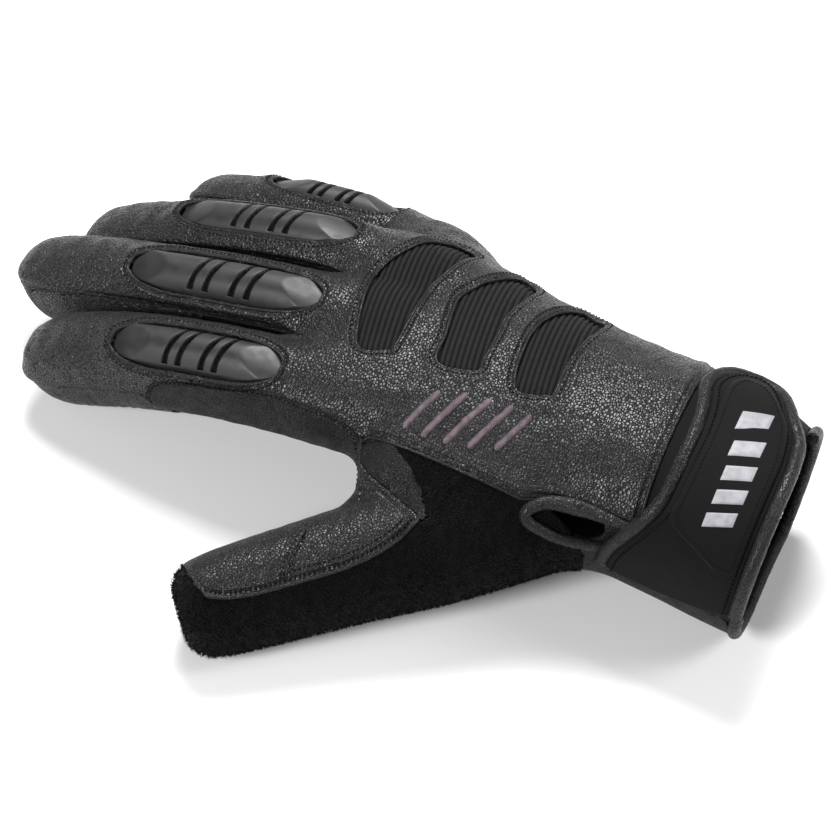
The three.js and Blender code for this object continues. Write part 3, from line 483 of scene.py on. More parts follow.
def panel_piece(name, field, relief, thickness, material, lining, node, slot, seams=None):
    """A sewn panel: the skin inside its field, raised by its relief, with its wall. The inner side is the
    outer one moved inwards by the thickness, and a strip round every edge joins them. Where seams is
    given, it is the distance to the nearest edge, kept for the material's stitched groove, which is sunk by
    bump and painted darker as shade."""
    points, corners = cut_panel(field)
    points, normals = onto_skin(points, 1)
    outer = points + normals * relief(points, normals)[:, None]
    ends = np.vstack([corners[:, [0, 1]], corners[:, [1, 2]], corners[:, [2, 0]]])
    ends = np.vstack([ends, ends[:, ::-1]])
    middle = np.stack([np.bincount(ends[:, 0], outer[ends[:, 1], k], len(outer)) for k in range(3)], 1)
    middle /= np.maximum(np.bincount(ends[:, 0], minlength=len(outer)), 1)[:, None]
    spike = np.linalg.norm(outer - middle, axis=1) > SPIKE
    outer[spike] = middle[spike]
    inner = outer - normals * thickness
    a, b = free_sides(corners, len(points))
    k = len(points)
    edge = np.vstack([np.stack([b, a, a + k], 1), np.stack([b, a + k, b + k], 1)])
    faces = np.vstack([corners, edge, corners[:, ::-1] + k])
    piece = mesh_piece(name, np.vstack([outer, inner]), faces, material, lining, len(corners) + len(edge))
    if seams:
        away = np.tile(seams(points, normals), 2).astype(np.float32)
        piece.data.attributes.new("seam", "FLOAT", "POINT").data.foreach_set("value", away)
    if node:
        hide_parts(node)
    return piece


# The back of the glove: one panel of grained goatskin from the fingertips to the wrist hem, with windows for
# the knuckle guards and for the elastic. Its edges are turned in and sewn to the side walls and the palm.
HEM = 0.754  # lower edge of the back as a share of the hand's length
FINGER_SEAMS = {"index": (0.06, 0.42), "middle": (0.48, 0.42), "ring": (0.52, 0.42), "little": (0.6, 0.1)}
BACK_SEAMS = np.array([  # share of the hand's length, thumb side and far side as shares of its half depth
    (-0.16, -0.08, -0.1), (0.04, -0.06, -0.12), (0.185, 0.06, -0.15), (0.288, 0.2, -0.15),
    (0.387, 0.3, -0.15), (0.468, 0.36, -0.15), (0.56, 0.43, -0.15), (HEM, 0.45, -0.15)])


def above_seam(name, p):
    """Height above the straight line between a finger's two seams, and the finger's share and side there."""
    d = FINGERS[name]
    t, a, b = on_digit(d, p)
    reach = d["half_width"] + 0.15
    depth = d["half_depth"] * table(FINGER_SECTIONS, 2, np.clip(t, 0, 1))
    low, high = (share * depth for share in FINGER_SEAMS[name])
    return b - low - (high - low) * np.clip((a + reach) / (2 * reach), 0, 1), t, a, depth


def near_finger(name, p):
    """Marks the points of one finger, which lie between the free spaces at its sides."""
    d = FINGERS[name]
    line = along_line(d, "line", np.array([-0.1, 1.0]))
    rough = np.abs(p[:, 1] - np.interp(p[:, 0], line[::-1, 0], line[::-1, 1])) < d["half_width"] + 6
    return rough & (p[:, 0] < line[0, 0] + 6)


def back_field(p):
    """Over zero on the back panel: above the seam line on the hand or on any finger, whichever is more."""
    share, a, b = on_hand(p)
    half = table(HAND_SECTIONS, 3, share) * HAND_WIDTH / 2
    depth = table(HAND_SECTIONS, 4, share) * WRIST_DEPTH / 2
    near, far = (np.interp(share, BACK_SEAMS[:, 0], BACK_SEAMS[:, k]) * depth for k in (1, 2))
    line = near + (far - near) * (a + half) / (3 * half)
    out = np.minimum(b - line, (share - BACK_SEAMS[0, 0]) * HAND_LENGTH)
    out = np.minimum(out, a + half + 0.3 + 0.25 * np.maximum(b, 0))
    for name, d in FINGERS.items():
        some = near_finger(name, p)
        above, t, side, _ = above_seam(name, p[some])
        own = (np.abs(side) < d["half_width"] + 0.3) & (t > -0.1)
        out[some] = np.maximum(out[some], np.where(own, above, -20))
    return np.minimum(out, HEM * HAND_LENGTH - p[:, 0])


def smooth_outline(points, fine=6, closed=True):
    """A closed outline rounded by a cubic through its points."""
    p = np.asarray(points, float)
    n = len(p)
    i = np.arange(n if closed else n - 1)
    at = (lambda k: p[(i + k) % n]) if closed else (lambda k: p[np.clip(i + k, 0, n - 1)])
    t = np.linspace(0, 1, fine, endpoint=False)[:, None, None]
    rows = ((2 * t**3 - 3 * t**2 + 1) * at(0) + (t**3 - 2 * t**2 + t) * (at(1) - at(-1)) / 2
            + (3 * t**2 - 2 * t**3) * at(1) + (t**3 - t**2) * (at(2) - at(0)) / 2)
    out = rows.transpose(1, 0, 2).reshape(-1, p.shape[1])
    return out if closed else np.vstack([out, p[-1]])


def within(outline, u, v):
    """Distance inside a closed flat outline: the least distance to its sides, negative outside it, where
    a ray crosses an even number of them."""
    p = np.stack([u, v], 1)
    a, b = outline, np.roll(outline, -1, axis=0)
    side = b - a
    best = np.full(len(p), 1e9)
    odd = np.zeros(len(p), bool)
    for start in range(0, len(p), 20000):
        q = p[start:start + 20000, None, :]
        t = np.clip(((q - a) * side).sum(-1) / np.maximum((side * side).sum(-1), 1e-12), 0, 1)
        best[start:start + 20000] = np.linalg.norm(q - a - t[..., None] * side, axis=-1).min(1)
        straddle = (a[:, 1] > q[..., 1]) != (b[:, 1] > q[..., 1])
        rise = np.where(np.abs(side[:, 1]) < 1e-12, 1e-12, side[:, 1])
        at = a[:, 0] + (q[..., 1] - a[:, 1]) / rise * side[:, 0]
        odd[start:start + 20000] = (straddle & (q[..., 0] < at)).sum(1) % 2 == 1
    return np.where(odd, best, -best)


RIB_OUTLINES = [smooth_outline(np.array(rows) * (HAND_LENGTH, HAND_WIDTH)) for rows in (
    [(-0.01, -0.175), (-0.06, 0.09), (-0.06, 0.18), (-0.03, 0.27), (0, 0.35), (0.04, 0.41), (0.08, 0.425),
     (0.115, 0.4), (0.11, 0.36), (0.078, 0.205), (0.07, 0.13), (0.075, -0.14), (0.065, -0.172)],
    [(0.187, -0.166), (0.171, -0.04), (0.15, 0.11), (0.152, 0.173), (0.182, 0.266), (0.215, 0.35),
     (0.24, 0.384), (0.262, 0.366), (0.292, 0.325), (0.285, 0.234), (0.272, 0.122), (0.277, 0.04),
     (0.28, -0.1), (0.277, -0.156)],
    [(0.377, -0.164), (0.348, 0.07), (0.366, 0.212), (0.41, 0.3), (0.45, 0.275), (0.482, 0.257),
     (0.463, 0.084), (0.46, -0.02), (0.464, -0.14), (0.455, -0.155)])]


def rib_field(p, i):
    """Over zero in the window of an elastic panel: distance inside its outline seen from above."""
    out = np.full(len(p), -30.0)
    low, high = RIB_OUTLINES[i].min(0) - 12, RIB_OUTLINES[i].max(0) + 12
    some = ((p[:, :2] > low) & (p[:, :2] < high)).all(1) & (p[:, 2] > 30)
    out[some] = within(RIB_OUTLINES[i], p[some, 0], p[some, 1])
    return out


# Start and end as shares of the finger's length, and side as a share of its width
GUARDS = {"index": (0.185, 0.66, -0.08), "middle": (0.14, 0.645, -0.08), "ring": (0.2, 0.685, 0.02),
          "little": (0.22, 0.7, 0.15)}
GUARD_WIDTH = 11.6  # across the finger
GUARD_EDGE = np.array([(0, 0.26), (0.03, 0.52), (0.08, 0.74), (0.16, 0.9), (0.3, 1), (0.62, 1), (0.78, 0.97),
                       (0.9, 0.8), (0.96, 0.58), (1, 0.26)])  # share of the guard's length, half width


def guard_outline(name, grow=0.0):
    """The guard's outline in a finger's share times length and side: its half width goes down one side and
    back up the other, moved outwards by grow."""
    start, end, shift = GUARDS[name]
    length = FINGERS[name]["length"]
    at = np.linspace(0, 1, 60)
    along = (start + (end - start) * at) * length
    half = table(GUARD_EDGE, 1, at) * GUARD_WIDTH / 2
    along = along + grow * np.interp(at, (0, 0.06, 0.94, 1), (-1, 0, 0, 1))
    middle = shift * FINGER_WIDTH
    out = np.stack([np.r_[along, along[::-1]], np.r_[middle - half - grow, (middle + half + grow)[::-1]]], 1)
    return out


def guard_field(p, name):
    """Over zero in the window of a knuckle guard: distance inside the guard's outline along the finger."""
    out = np.full(len(p), -30.0)
    some = near_finger(name, p)
    above, t, side, _ = above_seam(name, p[some])
    value = within(guard_outline(name, 0.25), t * FINGERS[name]["length"], side)
    out[some] = np.where(above > 1.5, value, -30)
    return out


INDEX_PATCH = smooth_outline([  # distance along the index finger and height over its line
    (61.5, -1.5), (59.8, 2.9), (55, 7.8), (40.8, 9.7), (27.6, 10.7), (14.3, 11.3), (2, 11.3), (-7.5, 8.4),
    (-11.5, 1.5), (-13, -5), (-8, -9), (4, -7.6), (20, -6.6), (40, -6.6), (56, -6.2)])


def patch_field(p):
    """Over zero on the patch along the index finger's thumb side."""
    out = np.full(len(p), -30.0)
    some = near_finger("index", p) | ((p[:, 0] > -15) & (p[:, 0] < 24) & (p[:, 1] < -18) & (p[:, 2] > 22))
    t, a, b = on_digit(FINGERS["index"], p[some])
    value = within(INDEX_PATCH, t * FINGERS["index"]["length"], b)
    out[some] = np.where((a < -1) & (a > -22), value, -30)
    return out


def back_panel_field(p):
    """The back without its windows and without the index patch that laps over it."""
    fields = [back_field, lambda q: 0.5 - patch_field(q)]
    fields += [lambda q, i=i: -rib_field(q, i) for i in range(len(RIB_OUTLINES))]
    fields += [lambda q, name=name: -guard_field(q, name) for name in GUARDS]
    return least(p, *fields)


def swell(distance, lift, width):
    """How a panel's rim stands up from its sewn edge: it rises from below the skin at the edge to the full
    lift at width and settles to nothing at three widths."""
    s = np.maximum(distance, 0) / width
    return lift * s * np.exp(1 - s) - 0.55 * np.exp(-(s * 2.6) ** 2)


def back_relief(p, n):
    """Height of the back over the plain skin: its sewn edges dip, the rims of its windows are puffed, and
    soft wrinkles run over the hand."""
    edge = inland(back_field, p, n)
    high = 0.45 * np.exp(-((edge - 2.8) / 1.7) ** 2) - 0.7 * np.exp(-(np.maximum(edge, 0) / 1.1) ** 2)
    for i in range(3):
        high += swell(-inland(lambda q: rib_field(q, i), p, n), 0.75, 1.9)
    for name in GUARDS:
        high += swell(-inland(lambda q: guard_field(q, name), p, n), 1.15, 1.9)
    rough = np.abs(ripples(p * (1, 0.6, 1), 13, 3)) ** 1.5 * 0.28 + ripples(p, 5.5, 4) * 0.1
    return high - rough * np.clip(edge / 4, 0, 1)


def back_seams(p, n):
    """Distance on the back from its nearest sewn edge or window."""
    away = inland(back_field, p, n)
    for i in range(3):
        away = np.minimum(away, -inland(lambda q: rib_field(q, i), p, n))
    for name in GUARDS:
        away = np.minimum(away, -inland(lambda q: guard_field(q, name), p, n))
    return away


def add_node(material, kind, values=(), settings=(), **inputs):
    """Adds a node. Values go to its inputs in order, the rest by name, as numbers or other nodes' outputs."""
    tree = material.node_tree
    node = tree.nodes.new("ShaderNode" + kind)
    for key, value in dict(settings).items():
        setattr(node, key, value)
    for key, value in [*enumerate(values), *((k.replace("_", " "), v) for k, v in inputs.items())]:
        if isinstance(value, bpy.types.NodeSocket):
            tree.links.new(value, node.inputs[key])
        elif value is not None:
            node.inputs[key].default_value = value
    return node


def worked(material, operation, *values):
    """A sum, product or the like of numbers or other nodes' outputs."""
    return add_node(material, "Math", values, {"operation": operation}).outputs[0]


def ranged(material, value, low, high, to_low=0.0, to_high=1.0):
    """A value carried smoothly from one range to another."""
    settings = {"interpolation_type": "SMOOTHSTEP"}
    return add_node(material, "MapRange", (value, low, high, to_low, to_high), settings).outputs[0]


def blended(material, share, first, second):
    """Two colours mixed by a share."""
    node = add_node(material, "MixRGB", (share, (*first, 1), (*second, 1)))
    return node.outputs[0]


def raised(material, shader, height, depth, strength=1.0, onto=None):
    """Bump of a height whose full range is depth millimetres, on top of another bump if given."""
    node = add_node(material, "Bump", Height=height, Distance=depth / 1000, Strength=strength)
    if onto:
        material.node_tree.links.new(onto, node.inputs["Normal"])
    material.node_tree.links.new(node.outputs[0], shader.inputs["Normal"])
    return node.outputs[0]


def scaled_place(material, cells):
    """Object coordinates in cells of the given sizes in millimetres, shaken a little by noise."""
    place = add_node(material, "TexCoord").outputs["Object"]
    scaled = add_node(material, "Mapping", Vector=place, Scale=tuple(1000 / c for c in cells)).outputs[0]
    shake = add_node(material, "TexNoise", Vector=scaled, Scale=0.9, Detail=1.0).outputs["Color"]
    shaken = add_node(material, "VectorMath", (shake, (0.45, 0.45, 0.45)), {"operation": "MULTIPLY"})
    moved = add_node(material, "VectorMath", (scaled, shaken.outputs[0]), {"operation": "ADD"})
    return place, moved.outputs[0]


def mixed_noise(material, place, size, detail=3.0):
    """Noise whose largest blotches are size millimetres across."""
    return add_node(material, "TexNoise", Vector=place, Scale=1000 / size, Detail=detail).outputs[0]


def cell_distance(material, place, feature):
    """Distance to the random cells' edges, or to their middles, in cells."""
    node = add_node(material, "TexVoronoi", Vector=place, Scale=1.0, settings={"feature": feature})
    return node.outputs["Distance"]


SEAM_AWAY = 1.6  # from a panel's edge to the groove that its stitches pull in


def grained(name, dark, light, cells, depth, smooth, rough, gloss=0.55):
    """Goatskin: pebbles between creased valleys, as the distance to the edges of random cells, with finer
    pores, broad folds and a sheen that comes and goes. The valleys and the stitched groove are painted
    darker and less shiny as shade."""
    material, shader = finish_kind(name, dark, smooth)
    place, cell_place = scaled_place(material, cells)
    edge = cell_distance(material, cell_place, "DISTANCE_TO_EDGE")
    dome = cell_distance(material, cell_place, "SMOOTH_F1")
    valley = ranged(material, edge, 0.0, 0.2)
    pebble = worked(material, "MULTIPLY", valley, ranged(material, dome, 0.9, 0.1, 0.55, 1.0))
    blotch = mixed_noise(material, place, 11)
    pores = mixed_noise(material, place, 0.45, 1.0)
    weak = worked(material, "MULTIPLY", pebble, ranged(material, blotch, 0.3, 0.7, 0.75, 1.0))
    height = worked(material, "MULTIPLY_ADD", pores, 0.12, weak)
    away = add_node(material, "Attribute", settings={"attribute_name": "seam"}).outputs["Fac"]
    off = worked(material, "ABSOLUTE", worked(material, "SUBTRACT", away, SEAM_AWAY))
    groove = ranged(material, off, 0.15, 0.75, 1.0, 0.0)
    sunk = worked(material, "MULTIPLY_ADD", groove, -1.5, height)
    folds = raised(material, shader, mixed_noise(material, place, 4.5, 2.0), 0.9, 0.35)
    raised(material, shader, sunk, depth, 1.0, folds)
    tint = blended(material, ranged(material, blotch, 0.35, 0.68), dark, light)
    # Painted shade: the colour goes to a darker tone and the specular level drops in the cell valleys and in
    # the stitched groove.
    unshaded_share = worked(material, "MULTIPLY", valley, ranged(material, groove, 0.0, 1.0, 1.0, 0.7))
    tone_with_painted_shade = add_node(material, "MixRGB", (unshaded_share, (*[c * 0.4 for c in dark], 1), tint)).outputs[0]
    wet = ranged(material, mixed_noise(material, place, 5.0), 0.3, 0.7, smooth, rough)
    dull = worked(material, "ADD", ranged(material, valley, 0.0, 1.0, 0.25, 0.0), wet)
    shine_dimmed_in_shade = ranged(material, unshaded_share, 0.0, 1.0, 0.2, gloss)
    for value, socket in ((tone_with_painted_shade, "Base Color"), (dull, "Roughness"), (shine_dimmed_in_shade, "Specular IOR Level")):
        material.node_tree.links.new(value, shader.inputs[socket])
    return material


def napped(name, dark, light, size, depth, rough=0.95, sheen=0.25):
    """Cloth with a pile: round tufts of one size as the distance to random points, mottled in two tones
    in random blotches that show only on the tufts' crowns, so the crowns are painted lighter as highlight
    and the gaps between tufts darker as shade.
    """
    material, shader = finish_kind(name, dark, rough)
    place, cell_place = scaled_place(material, size)
    tuft = add_node(material, "TexVoronoi", Vector=cell_place, Scale=1.0).outputs["Distance"]
    dome = ranged(material, tuft, 0.75, 0.05)
    fluff = mixed_noise(material, place, 0.5, 4.0)
    height = worked(material, "MULTIPLY_ADD", fluff, 0.7, dome)
    folds = raised(material, shader, mixed_noise(material, place, 7, 2.0), 1.2, 0.3)
    raised(material, shader, height, depth, 1.0, folds)
    blotch = ranged(material, mixed_noise(material, place, 1.6, 4.0), 0.42, 0.7)
    # Partly random mottle, partly painted highlight on the tuft crowns and painted shade between the tufts.
    mottle_and_tuft_light = worked(material, "MULTIPLY", blotch, dome)
    material.node_tree.links.new(blended(material, mottle_and_tuft_light, dark, light), shader.inputs["Base Color"])
    shader.inputs["Sheen Weight"].default_value = sheen
    shader.inputs["Sheen Roughness"].default_value = 0.5
    shader.inputs["Specular IOR Level"].default_value = 0.12
    return material


def knitted(name, dark, light, size, depth, rough=0.8, axis="X", sheen=0.15):
    """Fine knit: two sets of crossed waves one stitch apart, shaken by noise, with the crowns painted lighter
    as highlight and the hollows between painted darker as shade, in random patches.
    """
    material, shader = finish_kind(name, dark, rough)
    place = add_node(material, "TexCoord").outputs["Object"]
    ways = zip(size, (axis, "DIAGONAL"))
    rows = [add_node(material, "TexWave", Vector=place, Scale=500 / s, Distortion=0.8, Detail=1.0,
                     settings={"bands_direction": way}).outputs[1] for s, way in ways]
    weave = worked(material, "MULTIPLY", *rows)
    fluff = worked(material, "MULTIPLY_ADD", mixed_noise(material, place, 0.5, 2.0), 0.5, weave)
    folds = raised(material, shader, mixed_noise(material, place, 8, 2.0), 1.0, 0.25)
    raised(material, shader, fluff, depth, 0.9, folds)
    patchy = ranged(material, mixed_noise(material, place, 3.0), 0.3, 0.7, 0.5, 1.0)
    # Painted highlight on the knit's crowns and painted shade in its hollows, in random patches.
    crown = worked(material, "MULTIPLY", weave, patchy)
    material.node_tree.links.new(blended(material, crown, dark, light), shader.inputs["Base Color"])
    shader.inputs["Sheen Weight"].default_value = sheen
    shader.inputs["Specular IOR Level"].default_value = 0.16
    return material, shader


goatskin = grained("goatskin", (0.0062, 0.0060, 0.0065), (0.0105, 0.0101, 0.0109), (0.78, 1.02, 0.95),
                   0.24, 0.33, 0.46)
soft_skin = grained("soft_goatskin", (0.0019, 0.0018, 0.0020), (0.0038, 0.0037, 0.0039), (0.7, 0.85, 0.8),
                    0.16, 0.42, 0.56, 0.3)
# The lining's lighter tone lies on its tuft crowns as painted highlight, with painted shade between.
suede_side = napped("suede_side", (0.003, 0.0027, 0.0027), (0.008, 0.0072, 0.007), (0.5, 0.5, 0.5),
                    0.12, 0.95, 0.02)
panel_piece("back_leather", back_panel_field, back_relief, LEATHER, goatskin, suede_side, "back_shell",
            "grain_leather", back_seams)

# The patch along the thumb side of the index finger: softer, smoother leather lapped over the back and the
# palm and topstitched round its edge.


def patch_panel_field(p):
    """Over zero on the patch, which stays off the floor."""
    return np.minimum(patch_field(p), p[:, 2] - 3)


def patch_relief(p, n):
    """Height of the patch over the skin: it lies on the back's leather, with a dip round its edge."""
    edge = np.maximum(inland(patch_field, p, n), 0)
    return 0.75 - 0.6 * np.exp(-(edge / 0.9) ** 2) - np.abs(ripples(p * (1, 0.5, 0.5), 9, 8)) ** 1.4 * 0.35


panel_piece("index_patch", patch_panel_field, patch_relief, LEATHER, soft_skin, suede_side, "index_guard",
            "soft_leather", lambda p, n: inland(patch_field, p, n))

# The thumb: grained leather over its back and tip, in two panels that meet at a seam, and rough terry for
# wiping on the side that faces the palm and up to the back panel's edge.
THUMB_EDGE = np.array([  # share of the thumb's length, side as a share of its width
    (0.1, 0.5), (0.43, 0.36), (0.505, 0.223), (0.555, 0.16), (0.63, 0.11), (0.77, 0.1), (0.86, 0.11),
    (0.935, 0.19), (0.955, 0.3), (0.965, 0.4), (0.98, 1.2)])
THUMB_SEAM = np.array([(3.2, 0.77), (9.9, 0.74), (12.7, 0.71), (14.6, 0.685)])  # side, share of the length


SADDLE_END = ((8, 12, 18, 24, 30), (0.432, 0.448, 0.485, 0.52, 0.54))  # side and share of the length
GUSSET_START = ((8, 12, 18, 24, 30), (0.43, 0.425, 0.42, 0.43, 0.45))


def thumb_field(p):
    """Over zero on the thumb and its web, up to the crease where the hand is nearer."""
    out = np.full(len(p), -20.0)
    some = (p[:, 1] < -8) & (p[:, 0] < 92)
    q = p[some]
    t, a, b = on_digit(THUMB, q)
    near = np.minimum(from_digit(THUMB, q), from_digit(WEB, q))
    value = np.minimum(from_hand(q) - near, (t - 0.08) * THUMB_LENGTH)
    out[some] = value
    return least(p, lambda q: out, lambda q: -back_field(q), lambda q: -patch_field(q))


def thumb_leather_field(p):
    """Over zero on the leather of the thumb: beyond its edge, on the side of the back."""
    t, a, b = on_digit(THUMB, p)
    edge = a - table(THUMB_EDGE, 1, t) * THUMB_WIDTH
    return np.minimum(edge, (t - np.interp(a, *SADDLE_END)) * THUMB_LENGTH)


def gusset_field(p):
    """Over zero on the small panel in the crotch, between the saddle's end and the towelling."""
    def between(q):
        t, a, b = on_digit(THUMB, q)
        ahead = (t - np.interp(a, *GUSSET_START)) * THUMB_LENGTH
        edge = a - table(THUMB_EDGE, 1, np.maximum(t, 0.43)) * THUMB_WIDTH + 0.5
        return np.minimum(np.minimum((np.interp(a, *SADDLE_END) - t) * THUMB_LENGTH, ahead), edge)
    return least(p, thumb_field, between)


def thumb_seam_field(p):
    """Distance past the seam between saddle and tip, towards the tip."""
    t, a, b = on_digit(THUMB, p)
    return (t - np.interp(a, THUMB_SEAM[:, 0], THUMB_SEAM[:, 1])) * THUMB_LENGTH


def tip_field(p):
    """Over zero on the leather past the thumb's seam."""
    return least(p, thumb_field, thumb_leather_field, thumb_seam_field)


def saddle_field(p):
    """Over zero on the leather before the thumb's seam."""
    return least(p, thumb_field, thumb_leather_field, lambda q: -thumb_seam_field(q))


def terry_field(p):
    """Over zero on the rest of the thumb, which is towelling."""
    return least(p, thumb_field, lambda q: -thumb_leather_field(q), lambda q: -gusset_field(q))


# The stretch cloth's lighter tone lies on its knit crowns as painted highlight.
stretch = knitted("stretch_cloth", (0.0016, 0.0016, 0.002), (0.005, 0.005, 0.0058), (0.5, 0.7), 0.10, 0.85,
                  "X", 0.02)[0]
# The towelling's lighter brown tone is painted highlight on its tuft crowns, with painted shade between the
# tufts.
towel = napped("towel", (0.0014, 0.0012, 0.0012), (0.0055, 0.0044, 0.0042), (0.8, 0.55, 0.55), 0.42, 0.95,
               0.02)
for name, field, material, node, slot, lift, creased in (
        ("thumb_tip_leather", tip_field, goatskin, "thumb_tip", "grain_leather", 0.4, 0.22),
        ("thumb_saddle_leather", saddle_field, goatskin, "thumb_saddle", "grain_leather", 0.4, 0.22),
        ("crotch_gusset", gusset_field, soft_skin, None, "soft_leather", 0.25, 0.6),
        ("thumb_towel", terry_field, towel, "thumb_terry", "terry_cloth", 0.0, 0.22)):
    def thumb_relief(p, n, lift=lift, creased=creased):
        """Height over the skin: a lift with creases across the thumb."""
        return lift - creased * np.abs(ripples(p * (1.3, 0.5, 0.5), 7, 12)) ** 1.4
    stitched = (lambda p, n: inland(thumb_leather_field, p, n)) if "leather" in name else None
    panel_piece(name, field, thumb_relief, LEATHER, material, suede_side, node, slot, stitched)

# The side walls between the fingers: dark stretch cloth, one strip for each pair of neighbours, sewn to the
# back's lower edge above and to the palm's edge below, and running out to nothing near the tip.
FOOT, WALL_START, WALL_END = -0.4, -0.12, 0.95


def side_wall_field(near, far):
    """Over zero on the wall between two fingers: under the back's seam and over the foot line, which rises to
    the seam near the tip."""
    def field(p):
        out = np.full(len(p), -20.0)
        for name, sign in ((near, 1), (far, -1)):
            some = near_finger(name, p)
            d = FINGERS[name]
            t, a, b = on_digit(d, p[some])
            depth = d["half_depth"] * table(FINGER_SECTIONS, 2, np.clip(t, 0, 1))
            rise = np.clip((t - 0.74) / (WALL_END - 0.74), 0, 1) ** 3
            foot = (FOOT * (1 - rise) + 0.5 * rise) * depth
            value = np.minimum(b - foot, (t - WALL_START) * d["length"])
            value = np.where((a * sign > 0) & (np.abs(a) < d["half_width"] + 0.3), value, -20)
            out[some] = np.maximum(out[some], value)
        return least(p, lambda q: out, lambda q: -back_field(q))
    return field


NEIGHBOURS = (("index", "middle"), ("middle", "ring"), ("ring", "little"))
WALLS = {f"{near}_{far}": side_wall_field(near, far) for near, far in NEIGHBOURS}
for name, field in WALLS.items():
    panel_piece(f"side_wall_{name}", field, lambda p, n: np.full(len(p), -0.25), LEATHER, stretch, suede_side,
                f"fourchette_{name}", "side_cloth")

# The wrist band under the closure tab: knitted elastic from the hem of the back to the mouth, sewn to both,
# which lets the cuff stretch over the hand.
BAND_FOOT = 0.4 * WRIST_DEPTH


def band_field(p):
    """Over zero on the band: between hem and mouth, above its foot."""
    share, a, b = on_hand(p)
    over = np.minimum(p[:, 0] - HEM * HAND_LENGTH, p[:, 2] - BAND_FOOT)
    return np.minimum(over, (1 - share) * HAND_LENGTH)


panel_piece("wrist_band_knit", band_field, lambda p, n: np.full(len(p), -0.1), LEATHER, stretch, suede_side,
            "wrist_band", "ribbed_cloth")

# The palm: smooth leather under the hand and the fingers, and round the heel of the thumb to the cuff. It
# takes all of the skin that no other panel covers, and has the vent's slot at the thumb side.
VENT_ENDS = ((0.53, 0.68, 0.046), (0.642, 0.65, 0.072))


def vent_field(p, grow=0.0):
    """Over zero in the vent: inside the tapered slot seen from the thumb side."""
    scale = (HAND_LENGTH, WRIST_DEPTH, WRIST_DEPTH)
    (x0, z0, r0), (x1, z1, r1) = (np.array(end) * scale for end in VENT_ENDS)
    u, v = p[:, 0] - x0, p[:, 2] - z0
    along = np.array([x1 - x0, z1 - z0])
    t = np.clip((u * along[0] + v * along[1]) / (along @ along), 0, 1)
    inside = r0 + (r1 - r0) * t + grow - np.hypot(u - t * along[0], v - t * along[1])
    return np.where(p[:, 1] < -HAND_WIDTH / 4, inside, -30)


def palm_field(p):
    """Over zero on all of the skin that no other panel covers, up to the mouth."""
    share, a, b = on_hand(p)
    before_band = np.maximum(HEM * HAND_LENGTH - p[:, 0], BAND_FOOT - p[:, 2])
    seat = np.minimum(before_band, (1 - share) * HAND_LENGTH)
    others = (back_field, patch_field, thumb_field, vent_field, *WALLS.values())
    return least(p, lambda q: seat, *[lambda q, field=field: -field(q) for field in others])


panel_piece("palm_leather", palm_field, lambda p, n: np.zeros(len(p)), LEATHER, soft_skin, suede_side,
            "palm_shell", "soft_leather")

# The knuckle guards: half-round bars of moulded grey rubber that show through the windows of the back, cut
# off flat at a slant at both ends and slit in two pairs so that they bend with the finger.
# The floors of the slits are painted near black as shade.
SLITS = (0.315, 0.395, 0.535, 0.615)


def digit_point(d, share, side, up):
    """Points at a share of a digit's length and distances across and up from its centre line."""
    return (along_line(d, "line", share) + along_line(d, "side", share) * side[:, None]
            + along_line(d, "up", share) * up[:, None])


def dropped(p, axis, rounds=7):
    """Points moved along an axis of their own onto the skin."""
    for _ in range(rounds):
        value = skin(p)
        rise = (skin(p + 0.05 * axis) - value) / 0.05
        p = p - (np.clip(value / np.clip(rise, 0.25, 2), -4, 4))[:, None] * axis
    g = slope(skin, p)
    return p, g / np.linalg.norm(g, axis=1)[:, None]


def grid_faces(rows, columns, closed=False):
    """Quads of a grid of points, row after row; closed joins the last column to the first."""
    i, j = np.meshgrid(np.arange(rows - 1), np.arange(columns if closed else columns - 1), indexing="ij")
    k = (j + 1) % columns
    quads = np.stack([i * columns + j, (i + 1) * columns + j, (i + 1) * columns + k, i * columns + k], -1)
    return quads.reshape(-1, 4)


def facing(points, faces, outward):
    """The faces, all turned over if their mean normal points against outward."""
    a, b, c = (points[faces[:, k]] for k in range(3))
    turned = (np.cross(b - a, c - a) * outward).sum() < 0
    return faces[:, ::-1] if turned else faces


rubber, rubber_shader = finish_kind("moulded_rubber", (0.014, 0.014, 0.0155), 0.55)
rubber_place = add_node(rubber, "TexCoord").outputs["Object"]
raised(rubber, rubber_shader, mixed_noise(rubber, rubber_place, 0.35, 2.0), 0.03, 0.5)
rubber_gloss = ranged(rubber, mixed_noise(rubber, rubber_place, 3.0), 0.3, 0.7, 0.46, 0.58)
rubber.node_tree.links.new(rubber_gloss, rubber_shader.inputs["Roughness"])
rubber_share = ranged(rubber, mixed_noise(rubber, rubber_place, 6.0), 0.3, 0.7)
rubber_tone = blended(rubber, rubber_share, (0.008, 0.008, 0.009), (0.012, 0.012, 0.0132))
rubber.node_tree.links.new(rubber_tone, rubber_shader.inputs["Base Color"])
# Near-black material for the slits' floors: painted shade in the slits.
slit_painted_shade = napped("slit_painted_shade_rubber", (0.002, 0.002, 0.0025), (0.006, 0.006, 0.006), (0.4, 0.4, 0.4), 0.05,
                    0.8, 0)
GUARD_BULGE, END_SLOPES, SLIT_DEEP = 3.9, (0.30, 0.27), 1.7


